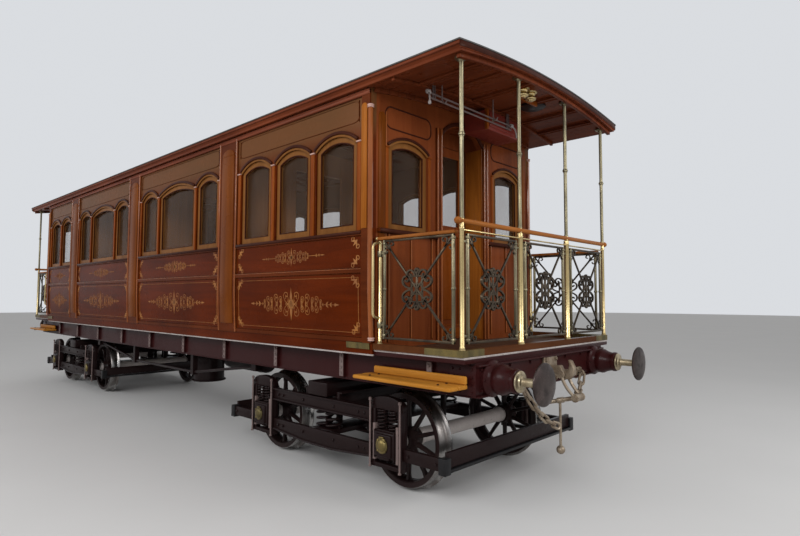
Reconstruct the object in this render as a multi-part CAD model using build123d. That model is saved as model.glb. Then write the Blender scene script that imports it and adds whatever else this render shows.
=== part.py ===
from build123d import *
import math
import os

# Passenger coach with open end platforms on two four-wheeled bogies.
# Millimetres. X runs along the coach, Y across it, Z up. The origin is under the middle of
# the coach, at the lowest points of the wheel flanges. Heights named *_up are above the rail.

# Running gear
flange_depth = 28.0
flange_width = 34.0
tread_radius = 400.0
tyre_width = 135.0
tyre_depth = 62.0
wheel_back_half_gap = 680.0
hub_radius = 92.0
hub_length = 170.0
spoke_count = 10
hub_spoke_width = 52.0
rim_spoke_width = 42.0
hub_spoke_thickness = 40.0
rim_spoke_thickness = 30.0
spoke_root = 14.0
axle_radius = 68.0
journal_radius = 52.0
journal_end_y = 1060.0
half_wheelbase = 910.0

# Bogie frame
frame_y = 1000.0
frame_thickness = 56.0
horn_half_gap = 128.0
horn_leg_width = 62.0
horn_foot_up = 205.0
horn_top_up = 790.0
horn_keep_depth = 34.0
horn_gap = 1.0
top_bar_up = 560.0
top_bar_depth = 120.0
tie_bar_end_up = 262.0
tie_bar_belly_up = 222.0
tie_bar_depth = 112.0
end_rail_x = 1510.0
end_rail_thickness = 64.0
end_rail_up = 285.0
end_rail_depth = 165.0
end_piece_rise = 10.0
end_piece_depth = 99.0
transom_half_gap = 210.0
transom_thickness = 40.0
transom_up = 540.0
transom_depth = 200.0
bolster_half_width = 140.0
bolster_up = 688.0
bolster_depth = 130.0
bolster_half_length = 1040.0
pivot_radius = 150.0
side_bearer_gap = 6.0
stirrup_y = 560.0
stirrup_width = 60.0
stirrup_thickness = 30.0
side_bearer_y = 560.0
side_bearer_size = 160.0
axlebox_width = 236.0
axlebox_height = 210.0
axlebox_inner_y = 900.0
axlebox_front_y = 1076.0
axlebox_cover_radius = 62.0
axlebox_cover_thickness = 26.0
journal_fit = 0.1
journal_end_gap = 2.0
spring_radius = 52.0
bolster_spring_radius = 74.0
bolster_spring_x = 68.0
bolster_spring_y = 880.0
spring_plank_up = 330.0
spring_plank_depth = 46.0

# Underframe
solebar_face_y = 1057.0
solebar_top_up = 1143.0
solebar_depth = 250.0
solebar_web = 14.0
solebar_flange = 78.0
headstock_proud = 24.0
headstock_thickness = 96.0
headstock_half_length = 1052.0
cross_bearer_width = 90.0
cross_bearer_depth = 180.0
inner_bearer_offset = 1415.0
outer_bearer_offset = 1185.0
centre_sill_y = 300.0
centre_sill_width = 80.0
body_bolster_width = 340.0
knee_width = 62.0
knee_proud = 26.0
knee_setback = 410.0
knee_foot_gap = 16.0
knee_top_gap = 10.0
knee_pitch = 1020.0
queen_post_x = 925.0
truss_y = 940.0
truss_rod_radius = 17.0
queen_post_size = 64.0
queen_post_foot_up = 655.0
truss_anchor_setback = 1185.0
truss_anchor_size = 90.0
cylinder_radius = 230.0
cylinder_height = 330.0
cylinder_x = 330.0
cylinder_y = -420.0
cylinder_foot_up = 440.0
reservoir_radius = 170.0
reservoir_half_length = 560.0
reservoir_y = 420.0
reservoir_up = 640.0
reservoir_end = 40.0
reservoir_end_radius = 120.0
cylinder_lug_offset = 120.0
strap_setback = 160.0
tank_flats = 12
hanger_thickness = 24.0
hanger_width = 60.0

# Floor and platform edging
floor_top_up = 1190.0
edging_top_up = 1240.0
edging_width = 52.0
edging_overhang = 26.0
corner_plate_side = 356.0
corner_plate_end = 260.0
body_plate_setback = 25.0
body_plate_length = 280.0
body_plate_proud = 8.0

# Body
body_half_width = 1236.0
wall_thickness = 60.0
wall_foot_up = 1152.0
tumblehome = 28.0
waist_up = 1830.0
sill_up = 2140.0
opening_bottom_up = 2166.0
opening_spring_up = 2915.0
opening_crown_up = 3010.0
corner_post_width = 98.0
pilaster_width = 370.0
pilaster_proud = 16.0
near_bay = 1972.0
middle_bay = 2215.0
far_bay = 1278.0
platform_length = 882.0
bogie_inset = 928.0
bottom_rail_up = 1262.0
moulding_proud = 14.0
moulding_height = 34.0
moulding_top_gap = 2.0
sash_stile = 52.0
sash_thickness = 30.0
sash_setback = 14.0
sash_spring_drop = 14.0
pane_thickness = 6.0
pane_lap = 24.0
pane_chords = 2
seat_gap = 0.3

# Windows of each bay: width of each opening, and the pier between them.
near_bay_windows = (545.0, 545.0, 545.0)
near_bay_pier = 92.0
middle_bay_windows = (500.0, 960.0, 500.0)
middle_bay_pier = 70.0
far_bay_windows = (520.0, 520.0)
far_bay_pier = 92.0

# End walls, doorway recess and doors
end_wall_thickness = 50.0
doorway_half_width = 320.0
doorway_spring_up = 3130.0
doorway_crown_up = 3280.0
recess_depth = 220.0
jamb_thickness = 40.0
door_opening_half_width = 318.0
door_opening_top_up = 3130.0
door_thickness = 40.0
door_gap = 7.0
door_stile = 84.0
door_glass_bottom_up = 2320.0
door_panel_recess = 12.0
door_bottom_rail = 134.0
door_hinge_places = (1400.0, 2200.0, 2950.0)
door_knuckle_radius = 9.0
door_knuckle_height = 45.0
door_plate_width = 40.0
door_plate_back = 4.5
door_arm_inset = 4.0
door_plate_thickness = 4.0
end_window_y = 780.0
end_window_width = 500.0
end_window_bottom_up = 2180.0
end_window_spring_up = 2880.0
end_window_crown_up = 2965.0
end_pilaster_y = 372.0
end_pilaster_width = 74.0
end_pilaster_proud = 20.0
end_pilaster_top_up = 3190.0
matchboard_pitch = 280.0
bead_width = 22.0
bead_proud = 9.0
bead_first = 98.0
bead_count = 3
bead_foot_gap = 1.0
ledge_proud = 34.0
ledge_height = 30.0
ledge_end_gap = 10.0

# Roof
eave_y = 1285.0
eave_up = 3334.0
ceiling_rise = 106.0
cornice_y = 1326.0
cornice_height = 68.0
cornice_bed = 16.0
cornice_bed_height = 22.0
cornice_nose = 8.0
cornice_nose_foot = 44.0
cornice_nose_top = 52.0
roof_board_depth = 48.0
roof_overhang = 96.0
cover_thickness = 10.0
cover_lip = 8.0
batten_width = 46.0
batten_depth = 16.0
batten_setback = 300.0
batten_end_gap = 60.0
batten_places = (-960.0, -620.0, -220.0, 220.0, 620.0, 960.0)

# Platform poles, rails and balustrade
pole_y = 1180.0
inner_pole_y = 400.0
pole_radius = 16.0
post_radius = 23.0
shoe_height = 16.0
shoe_rim = 5.0
hinge_post_radius = 14.0
hinge_post_offset = 56.0
hinge_post_drop = 3.0
collar_radius = 25.0
collar_height = 22.0
collar_up = 2784.0
shoe_slope = 4.0
flange_plate_radius = 52.0
flange_plate_height = 12.0
end_rail_up_centre = 2157.0
end_rail_radius = 19.0
end_rail_overhang = 46.0
end_ball_radius = 26.0

# Outline of a ball end, in ball radii: distance past its centre, radius.
ball_rows = ((0.0, 1.0), (0.7, 0.7), (1.0, 0.2))

side_rail_height = 26.0
side_rail_width = 56.0
panel_bottom_up = 1278.0
panel_top_up = 2072.0
panel_stile = 20.0
panel_depth = 24.0
panel_clear = 40.0
lug_inset = 60.0
lug_size = 16.0
scroll_bar = 12.0
scroll_depth = 14.0
plaque_half_width = 45.0
plaque_half_height = 66.0
curl_radius = 40.0
curl_x = 50.0
curl_rise = 92.0
curl_span = 240.0
curl_chords = 4
gate_stile_offset = 40.0
gate_latch_gap = 66.0
knuckle_inset = 110.0
knuckle_height = 46.0
knuckle_radius = 22.0
hinge_fit = 0.1
side_rail_back = 37.0
side_rail_front = 19.0
grab_radius = 11.0
grab_clear = 80.0
grab_bend = 34.0
grab_bottom_up = 1446.0
grab_top_up = 2050.0

# Steps
step_outer_y = 1300.0
step_gap = 8.0
step_inner_x = 1020.0
step_outer_x = 18.0
step_tread_up = 958.0
step_tread_thickness = 30.0
step_back_height = 62.0
step_back_thickness = 28.0
step_bracket_width = 50.0
step_bracket_inset = 150.0
step_bracket_back = 40.0
step_bracket_depth = 18.0
step_board_inset = 60.0

# Buffers, hook, coupling and chains
buffer_up = 1016.0
buffer_y = 860.0
buffer_length = 455.0
buffer_flats = 12
buffer_stem_sunk = 60.0
buffer_stem_radius = 30.0
buffer_ring_radius = 78.0
buffer_ring_thickness = 20.0

# Outline of a buffer's housing from the headstock out, and of its head from its back out:
# distance, radius.
buffer_housing_rows = (
    (0.0, 135.0), (26.0, 135.0), (38.0, 108.0), (96.0, 113.0), (186.0, 88.0), (236.0, 88.0),
)
buffer_head_rows = ((0.0, 150.0), (12.0, 150.0), (26.0, 120.0), (34.0, 66.0))

hook_up = 1010.0
hook_plate_size = 220.0
hook_plate_thickness = 22.0
hook_thickness = 50.0

# Outline of the draw hook: distance from the headstock, height over the middle of its shank.
hook_rows = (
    (0.0, -34.0), (96.0, -34.0), (140.0, -72.0), (196.0, -72.0), (236.0, -30.0), (240.0, 28.0),
    (212.0, 84.0), (186.0, 92.0), (196.0, 44.0), (186.0, 8.0), (160.0, -6.0), (136.0, 6.0),
    (118.0, 40.0), (84.0, 36.0), (0.0, 34.0),
)
coupling_pin_reach = 138.0
coupling_pin_drop = 32.0
coupling_node_reach = 261.0
coupling_node_up = 800.0
coupling_node_radius = 30.0
coupling_spread = 52.0
coupling_pin_radius = 18.0
coupling_lap = 20.0
coupling_screw_radius = 20.0
coupling_foot_up = 470.0
coupling_foot_radius = 24.0
link_bar_radius = 15.0
lever_arm = 76.0
lever_radius = 12.0
lever_foot_up = 352.0
lever_ball_radius = 36.0
chain_bar_radius = 11.0
chain_eye_y = 520.0
chain_eye_up = 930.0
chain_reach = 64.0
chain_plate_half = 50.0
chain_plate_thickness = 16.0
chain_eye_half_width = 9.0
chain_eye_half_height = 24.0
chain_eye_lip = 20.0
chain_eye_clear = 3.0
chain_link_width = 62.0
chain_link_corner = 18.0
chain_foot_reach = 150.0
chain_sag = 60.0

# Side chains of the near end: side, foot's distance from the middle, its height, link_count.
side_chains = ((-1, 120.0, 570.0, 6), (1, 190.0, 800.0, 4))

# Platform fittings
cupboard_length = 600.0
cupboard_depth = 280.0
cupboard_height = 190.0
cupboard_side_y = 20.0
alarm_rod_radius = 9.0
alarm_rod_offset = 180.0
alarm_rod_up = 3320.0
alarm_rod_length = 700.0
alarm_rod_spread = 44.0
alarm_hanger_inset = 60.0
alarm_hanger_width = 24.0
lamp_radius = 46.0
lamp_height = 70.0
lamp_setback = 120.0
lamp_y = -130.0
lamp_pitch = 130.0
lamp_rose_radius = 60.0
lamp_rose_height = 10.0

# Inside
partition_thickness = 36.0
partition_doorway_half_width = 360.0
partition_doorway_top_up = 3150.0
bench_depth = 520.0
bench_height = 440.0
bench_back = 130.0
bench_back_height = 880.0
bench_gap = 60.0
bench_kick = 60.0
bench_roll = 20.0
bench_back_lean = 50.0

# Round pieces have flats: an even number of them, none longer than this but in the smallest.
flat_length = 45.0
least_flats = 8
through = 1.0
arch_chords = 6

# Worked out
body_half_length = (near_bay + 2 * middle_bay + far_bay + 3 * pilaster_width) / 2 + corner_post_width
pole_plane_x = body_half_length + platform_length
headstock_face_x = pole_plane_x + headstock_proud
bogie_centre_x = body_half_length - bogie_inset
truss_anchor_x = bogie_centre_x - truss_anchor_setback
ceiling_crown_up = eave_up + ceiling_rise
cornice_top_up = eave_up + cornice_height
roof_crown_up = ceiling_crown_up + roof_board_depth


def above(height):
    """Height over the origin of something that lies this far above the rail."""
    return flange_depth + height


def block(x0, x1, y0, y1, z0, z1):
    """Box between two corners."""
    middle = Pos((x0 + x1) / 2, (y0 + y1) / 2, (z0 + z1) / 2)
    return middle * Box(abs(x1 - x0), abs(y1 - y0), abs(z1 - z0))


def flats_of(radius):
    """Number of flats of a round piece."""
    return max(least_flats, 2 * math.ceil(math.pi * radius / flat_length))


def bar(length, radius, flats=0):
    """Round bar from the origin up Z."""
    return extrude(RegularPolygon(radius, flats or flats_of(radius)), length, dir=(0, 0, 1))


def bore(length, radius):
    """Hole up Z from the origin, whose flats face the corners of the bar that turns in it."""
    flats = flats_of(radius)
    return Rot(0, 0, 180 / flats) * bar(length, radius / math.cos(math.pi / flats), flats)


def turned(rows, flats=0):
    """Turned piece about Z, from rows of height and radius."""
    flats = flats or flats_of(max(radius for height, radius in rows))
    return loft([Pos(0, 0, height) * RegularPolygon(radius, flats) for height, radius in rows], ruled=True)


def along_x(piece, x, y, z):
    """Piece laid from Z along X, its origin at a point."""
    return Pos(x, y, z) * Rot(0, 90, 0) * piece


def along_y(piece, x, y, z):
    """Piece laid from Z along Y, its origin at a point."""
    return Pos(x, y, z) * Rot(-90, 0, 0) * piece


def rod_between(start, end, radius):
    """Round bar from one point to another."""
    line = Edge.make_line(start, end)
    return Plane(origin=start, z_dir=line.tangent_at(0)) * bar(line.length, radius)


def upright(x, y, z0, z1, radius):
    """Round vertical bar."""
    return Pos(x, y, z0) * bar(z1 - z0, radius)


def cross_bar(x, z, y0, y1, radius):
    """Round bar along Y."""
    return along_y(bar(abs(y1 - y0), radius), x, min(y0, y1), z)


def long_bar(y, z, x0, x1, radius):
    """Round bar along X."""
    return along_x(bar(abs(x1 - x0), radius), min(x0, x1), y, z)


def fused(pieces):
    """One shape of pieces that touch."""
    whole = pieces[0]
    if len(pieces) > 1:
        whole = pieces[0].fuse(*pieces[1:])
    return whole


def both_ends(shape):
    """The shape and its copy at the other end of the coach, turned half round."""
    return [shape, Rot(0, 0, 180) * shape]


def four_corners(shape):
    """The shape mirrored to all four corners of the coach."""
    pair = [shape, mirror(shape, Plane.XZ)]
    return pair + [mirror(each, Plane.YZ) for each in pair]


def save(name, pieces):
    """Write one node, whose pieces may be apart."""
    solids = [solid for piece in pieces for solid in piece.solids()]
    export_step(Compound(children=solids), f"parts/{name}.step")


def extrude_x(outline, x0, x1):
    """Outline drawn in Y and Z, pulled along X."""
    face = make_face(Plane.YZ * outline)
    return Pos(x0, 0, 0) * extrude(face, x1 - x0, dir=(1, 0, 0))


def extrude_y(outline, y0, y1):
    """Outline drawn in X and Z, pulled along Y."""
    face = make_face(Plane.XZ * outline)
    return Pos(0, y0, 0) * extrude(face, y1 - y0, dir=(0, 1, 0))


def arched_outline(centre, width, bottom, spring, crown, chords=0):
    """Opening with an arched head made of short chords."""
    half = width / 2
    rise = crown - spring
    radius = (half**2 + rise**2) / (2 * rise)
    swing = math.asin(half / radius)
    count = chords or arch_chords
    turns = [swing - 2 * swing * i / count for i in range(count + 1)]
    arch = [(centre + radius * math.sin(turn), crown - radius * (1 - math.cos(turn))) for turn in turns]
    return Polyline((centre - half, bottom), (centre + half, bottom), *arch, (centre - half, bottom))


def ceiling_radius():
    """Radius of the ceiling's arc."""
    rise = ceiling_crown_up - eave_up
    return (eave_y**2 + rise**2) / (2 * rise)


def ceiling_height(y):
    """Height of the ceiling's arc over the rail at a distance from the middle."""
    return ceiling_crown_up - ceiling_radius() + math.sqrt(ceiling_radius() ** 2 - y**2)


# Wheels and axles


def spoke():
    """Tapered spoke along X, from inside the hub to inside the tyre."""
    hub_flat = hub_radius * math.cos(math.pi / spoke_count)
    start = hub_flat - spoke_root
    length = tread_radius - tyre_depth + spoke_root - start
    ends = [Rectangle(hub_spoke_width, hub_spoke_thickness), Rectangle(rim_spoke_width, rim_spoke_thickness)]
    shaft = loft([ends[0], Pos(0, 0, length) * ends[1]], ruled=True)
    return along_x(shaft, start, wheel_back_half_gap + tyre_width / 2, 0)


def wheel():
    """Spoked wheel with its flange on the inner side, about the Y axis, outer side at +Y."""
    back = wheel_back_half_gap
    front = back + tyre_width
    tyre_outline = Polyline(
        (0, back),
        (tread_radius + flange_depth, back),
        (tread_radius, back + flange_width),
        (tread_radius, front),
        (0, front),
        (0, back),
    )
    tyre = revolve(make_face(Plane.XY * tyre_outline), Axis.Y)
    rim_flats = 2 * spoke_count
    rim_corner = (tread_radius - tyre_depth) / math.cos(math.pi / rim_flats)
    rim = along_y(bar(tyre_width, rim_corner, rim_flats), 0, back, 0)
    tyre -= Rot(0, 180 / rim_flats, 0) * rim
    start = back + (tyre_width - hub_length) / 2
    hub = along_y(bar(hub_length, hub_radius, spoke_count), 0, start, 0)
    turn = 360 / spoke_count
    spokes = [Rot(0, turn * (i + 0.5), 0) * spoke() for i in range(spoke_count)]
    seat = along_y(bar(hub_length, axle_radius + seat_gap, flats_of(axle_radius)), 0, start, 0)
    return fused([tyre, hub] + spokes) - seat


def wheelset():
    """Axle and its two wheels, the axis along Y through the origin."""
    right = wheel()
    left = mirror(right, Plane.XZ)
    seat = wheel_back_half_gap + (tyre_width + hub_length) / 2
    shaft = cross_bar(0, 0, -seat, seat, axle_radius)
    journal = cross_bar(0, 0, -journal_end_y, journal_end_y, journal_radius)
    return [fused([shaft, journal]), right, left]


# Bogie


def bogie_side_frame():
    """Side frame at +Y: horn guides over each axle, top bar, tie bar and end pieces."""
    y0 = frame_y - frame_thickness / 2
    y1 = frame_y + frame_thickness / 2
    foot = above(horn_foot_up)
    head = above(horn_top_up)
    reach = horn_half_gap + horn_leg_width
    pieces = []
    for axle_x in (-half_wheelbase, half_wheelbase):
        for side in (-1, 1):
            inner = axle_x + side * horn_half_gap
            pieces.append(block(inner, inner + side * horn_leg_width, y0, y1, foot, head))
        crown_bottom = above(top_bar_up + top_bar_depth)
        pieces.append(block(axle_x - reach, axle_x + reach, y0, y1, crown_bottom, head))
        pieces.append(block(axle_x - reach, axle_x + reach, y0, y1, foot, foot + horn_keep_depth))
    inside = half_wheelbase - horn_half_gap - horn_gap
    top_bar = block(-inside, inside, y0, y1, above(top_bar_up), above(top_bar_up + top_bar_depth))
    belly = Polyline(
        (-inside, above(tie_bar_end_up + tie_bar_depth)),
        (-inside, above(tie_bar_end_up)),
        (-transom_half_gap, above(tie_bar_belly_up)),
        (transom_half_gap, above(tie_bar_belly_up)),
        (inside, above(tie_bar_end_up)),
        (inside, above(tie_bar_end_up + tie_bar_depth)),
        (-inside, above(tie_bar_end_up + tie_bar_depth)),
    )
    pieces += [top_bar, extrude_y(belly, y0, y1)]
    leg_back = half_wheelbase + horn_half_gap + horn_gap
    reach_end = end_rail_x + end_rail_thickness / 2
    low = above(end_rail_up + end_piece_rise)
    for side in (-1, 1):
        pieces.append(block(side * leg_back, side * reach_end, y0, y1, low, low + end_piece_depth))
    return fused(pieces)


def bogie_frame():
    """Frame of one bogie about its pivot: sides, end rails, transoms and swing bolster."""
    side = bogie_side_frame()
    pieces = [side, mirror(side, Plane.XZ)]
    inner_y = frame_y - frame_thickness / 2
    rail_low = above(end_rail_up)
    transom_low = above(transom_up)
    outer_x = transom_half_gap + transom_thickness
    for end in (-1, 1):
        rail0 = end * (end_rail_x - end_rail_thickness / 2)
        rail1 = end * (end_rail_x + end_rail_thickness / 2)
        pieces.append(block(rail0, rail1, -inner_y, inner_y, rail_low, rail_low + end_rail_depth))
        beam0 = end * transom_half_gap
        beam1 = end * outer_x
        pieces.append(block(beam0, beam1, -inner_y, inner_y, transom_low, transom_low + transom_depth))
    plank_low = above(spring_plank_up)
    plank_high = plank_low + spring_plank_depth
    half = bolster_half_width
    pieces.append(block(-half, half, -inner_y, inner_y, plank_low, plank_high))
    for y in (-stirrup_y, stirrup_y):
        y0 = y - stirrup_width / 2
        y1 = y + stirrup_width / 2
        bottom = plank_low - stirrup_thickness
        seat = block(-outer_x, outer_x, y0, y1, bottom, plank_low)
        near_leg = block(transom_half_gap, outer_x, y0, y1, bottom, transom_low)
        far_leg = block(-outer_x, -transom_half_gap, y0, y1, bottom, transom_low)
        pieces.append(fused([seat, near_leg, far_leg]))
    low = above(bolster_up)
    high = low + bolster_depth
    pieces.append(block(-half, half, -bolster_half_length, bolster_half_length, low, high))
    for x in (-bolster_spring_x, bolster_spring_x):
        for y in (-bolster_spring_y, bolster_spring_y):
            pieces.append(upright(x, y, plank_high, low, bolster_spring_radius))
    underside = above(solebar_top_up - solebar_depth)
    pieces.append(upright(0, 0, high, underside - seat_gap, pivot_radius))
    for y in (-side_bearer_y, side_bearer_y):
        reach = side_bearer_size / 2
        pieces.append(block(-reach, reach, y - reach, y + reach, high, underside - side_bearer_gap))
    return pieces


def axleboxes():
    """Axleboxes of one bogie, with the coil springs over them."""
    pieces = []
    middle = above(tread_radius)
    low = middle - axlebox_height / 2
    high = middle + axlebox_height / 2
    depth = journal_end_y + journal_end_gap - axlebox_inner_y
    for axle_x in (-half_wheelbase, half_wheelbase):
        half = axlebox_width / 2
        shell = block(axle_x - half, axle_x + half, axlebox_inner_y, axlebox_front_y, low, high)
        cover_end = axlebox_front_y + axlebox_cover_thickness
        cover = cross_bar(axle_x, middle, axlebox_front_y, cover_end, axlebox_cover_radius)
        spring_top = above(top_bar_up + top_bar_depth) - seat_gap
        spring = upright(axle_x, frame_y, high, spring_top, spring_radius)
        hole = along_y(bore(depth, journal_radius + journal_fit), axle_x, axlebox_inner_y, middle)
        whole = fused([shell, cover, spring]) - hole
        pieces += [whole, mirror(whole, Plane.XZ)]
    return pieces


# Underframe


def solebar():
    """Channel at +Y with its back outward, and the knees on its face."""
    top = above(solebar_top_up)
    foot = top - solebar_depth
    end = headstock_face_x - headstock_thickness
    web = block(-end, end, solebar_face_y - solebar_web, solebar_face_y, foot, top)
    flange_inner = solebar_face_y - solebar_flange
    upper = block(-end, end, flange_inner, solebar_face_y, top - solebar_web, top)
    lower = block(-end, end, flange_inner, solebar_face_y, foot, foot + solebar_web)
    knees = []
    first = knee_setback - headstock_face_x
    knee_count = int(-2 * first / knee_pitch) + 1
    for i in range(knee_count):
        x = first + knee_pitch * i
        half = knee_width / 2
        front = solebar_face_y + knee_proud
        low = foot + knee_foot_gap
        knees.append(block(x - half, x + half, solebar_face_y, front, low, top - knee_top_gap))
    return fused([web, upper, lower] + knees)


def cross_members():
    """Middle, half width and depth of each cross member, from one headstock to the other."""
    members = [(bogie_centre_x, body_bolster_width / 2, solebar_depth)]
    for place in (queen_post_x, bogie_centre_x - inner_bearer_offset, bogie_centre_x + outer_bearer_offset):
        members.append((place, cross_bearer_width / 2, cross_bearer_depth))
    return sorted(members + [(-place, half, depth) for place, half, depth in members])


def underframe():
    """Solebars, headstocks, cross bearers, body bolsters and the sills between them."""
    side = solebar()
    pieces = [side, Rot(0, 0, 180) * side]
    top = above(solebar_top_up)
    foot = top - solebar_depth
    inner = solebar_face_y - solebar_web
    notch = solebar_face_y - solebar_flange
    back = headstock_face_x - headstock_thickness
    for end in (-1, 1):
        face = end * headstock_face_x
        pieces.append(block(face, end * back, -headstock_half_length, headstock_half_length, foot, top))
    edges = [-back]
    for middle, half, depth in cross_members():
        edges += [middle - half, middle + half]
        web = block(middle - half, middle + half, -inner, inner, top - depth, top)
        for y in (-1, 1):
            web -= block(middle - half, middle + half, y * notch, y * inner, top - solebar_web, top)
            if depth == solebar_depth:
                web -= block(middle - half, middle + half, y * notch, y * inner, foot, foot + solebar_web)
        pieces.append(web)
    edges.append(back)
    for start, stop in zip(edges[0::2], edges[1::2]):
        for y in (-1, 1):
            sill0 = y * centre_sill_y
            sill1 = y * (centre_sill_y + centre_sill_width)
            pieces.append(block(start, stop, sill0, sill1, top - cross_bearer_depth, top))
    return pieces


def truss_rods():
    """Queen posts and truss rods under both solebars."""
    foot = above(solebar_top_up - solebar_depth)
    rod_height = above(queen_post_foot_up)
    anchor_height = foot - truss_anchor_size / 2
    pieces = [long_bar(truss_y, rod_height, -queen_post_x, queen_post_x, truss_rod_radius)]
    for end in (-1, 1):
        x = end * queen_post_x
        half = queen_post_size / 2
        pieces.append(block(x - half, x + half, truss_y - half, truss_y + half, rod_height - half, foot))
        anchor_x = end * truss_anchor_x
        post_foot = (x, truss_y, rod_height)
        pieces.append(rod_between(post_foot, (anchor_x, truss_y, anchor_height), truss_rod_radius))
        half = truss_anchor_size / 2
        low = foot - truss_anchor_size
        pieces.append(block(anchor_x - half, anchor_x + half, truss_y - half, truss_y + half, low, foot))
    one_side = fused(pieces)
    return [one_side, mirror(one_side, Plane.XZ)]


def brake_gear():
    """Brake cylinder and air reservoir, hung from the centre of the underframe."""
    foot = above(cylinder_foot_up)
    top = above(solebar_top_up) - cross_bearer_depth
    sill_middle = centre_sill_y + centre_sill_width / 2
    half = hanger_width / 2
    back = hanger_thickness / 2
    cylinder = [Pos(cylinder_x, cylinder_y, foot) * bar(cylinder_height, cylinder_radius, tank_flats)]
    for x in (cylinder_x - cylinder_lug_offset, cylinder_x + cylinder_lug_offset):
        low = foot + cylinder_height
        cylinder.append(block(x - half, x + half, -sill_middle - back, -sill_middle + back, low, top))
    length = 2 * reservoir_half_length
    rows = (
        (0, reservoir_end_radius),
        (reservoir_end, reservoir_radius),
        (length - reservoir_end, reservoir_radius),
        (length, reservoir_end_radius),
    )
    tank = [along_x(turned(rows, tank_flats), -reservoir_half_length, reservoir_y, above(reservoir_up))]
    for x in (-reservoir_half_length + strap_setback, reservoir_half_length - strap_setback):
        low = above(reservoir_up)
        tank.append(block(x - half, x + half, sill_middle - back, sill_middle + back, low, top))
    return [fused(cylinder), fused(tank)]


# Floor, edging and steps


def floor():
    """Floor boards of body and platforms in one plane."""
    end = headstock_face_x
    half = body_half_width - wall_thickness
    return block(-end, end, -half, half, above(solebar_top_up), above(floor_top_up))


def platform_edging():
    """Wooden strip round the near platform, between its brass corner plates."""
    low = above(floor_top_up)
    high = above(edging_top_up)
    outer_x = pole_plane_x + edging_overhang
    outer_y = pole_y + edging_overhang
    inner_x = outer_x - edging_width
    inner_y = outer_y - edging_width
    side_start = body_half_length + seat_gap
    side_end = outer_x - corner_plate_side
    side = block(side_start, side_end, inner_y, outer_y, low, high)
    end_reach = outer_y - corner_plate_end
    end = block(inner_x, outer_x, -end_reach, end_reach, low, high)
    wood = [end, side, mirror(side, Plane.XZ)]
    corner = fused(
        [
            block(side_end, outer_x, inner_y, outer_y, low, high),
            block(inner_x, outer_x, end_reach, outer_y, low, high),
        ]
    )
    plate_end = body_half_length - body_plate_setback
    plate = side_strip(plate_end - body_plate_length, plate_end, low, high, body_plate_proud)
    brass = [corner, mirror(corner, Plane.XZ), plate, mirror(plate, Plane.XZ)]
    return wood, brass


def steps():
    """Step of one corner: tread, back board and the brackets that carry them."""
    back_y = solebar_face_y + knee_proud + step_gap
    x0 = pole_plane_x - step_inner_x
    x1 = pole_plane_x - step_outer_x
    low = above(step_tread_up)
    top = low + step_tread_thickness
    head = top + step_back_height
    tread = block(x0, x1, back_y, step_outer_y, low, top)
    pieces = [tread, block(x0 + step_board_inset, x1, back_y, back_y + step_back_thickness, top, head)]
    half = step_bracket_width / 2
    for x in (x0 + step_bracket_inset, x1 - step_bracket_inset):
        pieces.append(block(x - half, x + half, solebar_face_y, back_y, low - step_bracket_depth, head))
        arm_end = step_outer_y - step_bracket_back
        pieces.append(block(x - half, x + half, back_y, arm_end, low - step_bracket_depth, low))
    return fused(pieces)


# Body sides


def side_outline(proud):
    """Outer line of the side in Y and Z at +Y, from the foot to the eave, moved out."""
    foot = above(wall_foot_up)
    waist = above(waist_up)
    rise = waist - foot
    y = body_half_width + proud
    middle = (y - tumblehome / 4, foot + rise / 2)
    curve = ThreePointArc((y - tumblehome, foot), middle, (y, waist))
    return curve, (y - tumblehome, foot), y


def side_wall():
    """One side at +Y, with its window openings."""
    curve, foot, outer = side_outline(0)
    inner = body_half_width - wall_thickness
    outer_top = above(ceiling_height(outer)) - seat_gap
    inner_top = above(ceiling_height(inner)) - seat_gap
    lines = Polyline((outer, above(waist_up)), (outer, outer_top), (inner, inner_top), (inner, foot[1]), foot)
    wall = extrude_x(curve + lines, -body_half_length, body_half_length)
    holes = []
    for centre, width in window_places():
        outline = arched_outline(
            centre, width, above(opening_bottom_up), above(opening_spring_up), above(opening_crown_up)
        )
        holes.append(extrude_y(outline, inner - through, outer + through))
    return wall - holes


def side_strip(x0, x1, z0, z1, proud):
    """Board on the outside of the side at +Y that follows its curve."""
    curve, foot, outer = side_outline(proud)
    wall_curve, wall_foot, wall_outer = side_outline(0)
    lines = Polyline((outer, above(waist_up)), (outer, above(eave_up)), (wall_outer, above(eave_up)))
    back = Polyline((wall_outer, above(eave_up)), (wall_outer, above(waist_up)))
    whole = extrude_x(curve + lines + back + wall_curve + Polyline(wall_foot, foot), x0, x1)
    return whole & block(x0, x1, wall_foot[0], outer, z0, z1)


def bays():
    """Left and right end of each bay of the side, from the near end of the coach."""
    places = []
    right = body_half_length - corner_post_width
    for length in (near_bay, middle_bay, middle_bay, far_bay):
        places.append((right - length, right))
        right -= length + pilaster_width
    return places


def window_places():
    """Centre and width of each window opening of a side."""
    groups = (
        (near_bay_windows, near_bay_pier),
        (middle_bay_windows, middle_bay_pier),
        (middle_bay_windows, middle_bay_pier),
        (far_bay_windows, far_bay_pier),
    )
    places = []
    for (left, right), (widths, pier) in zip(bays(), groups):
        total = sum(widths) + pier * (len(widths) - 1)
        edge = (left + right) / 2 + total / 2
        for width in widths:
            places.append((edge - width / 2, width))
            edge -= width + pier
    return places


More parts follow.
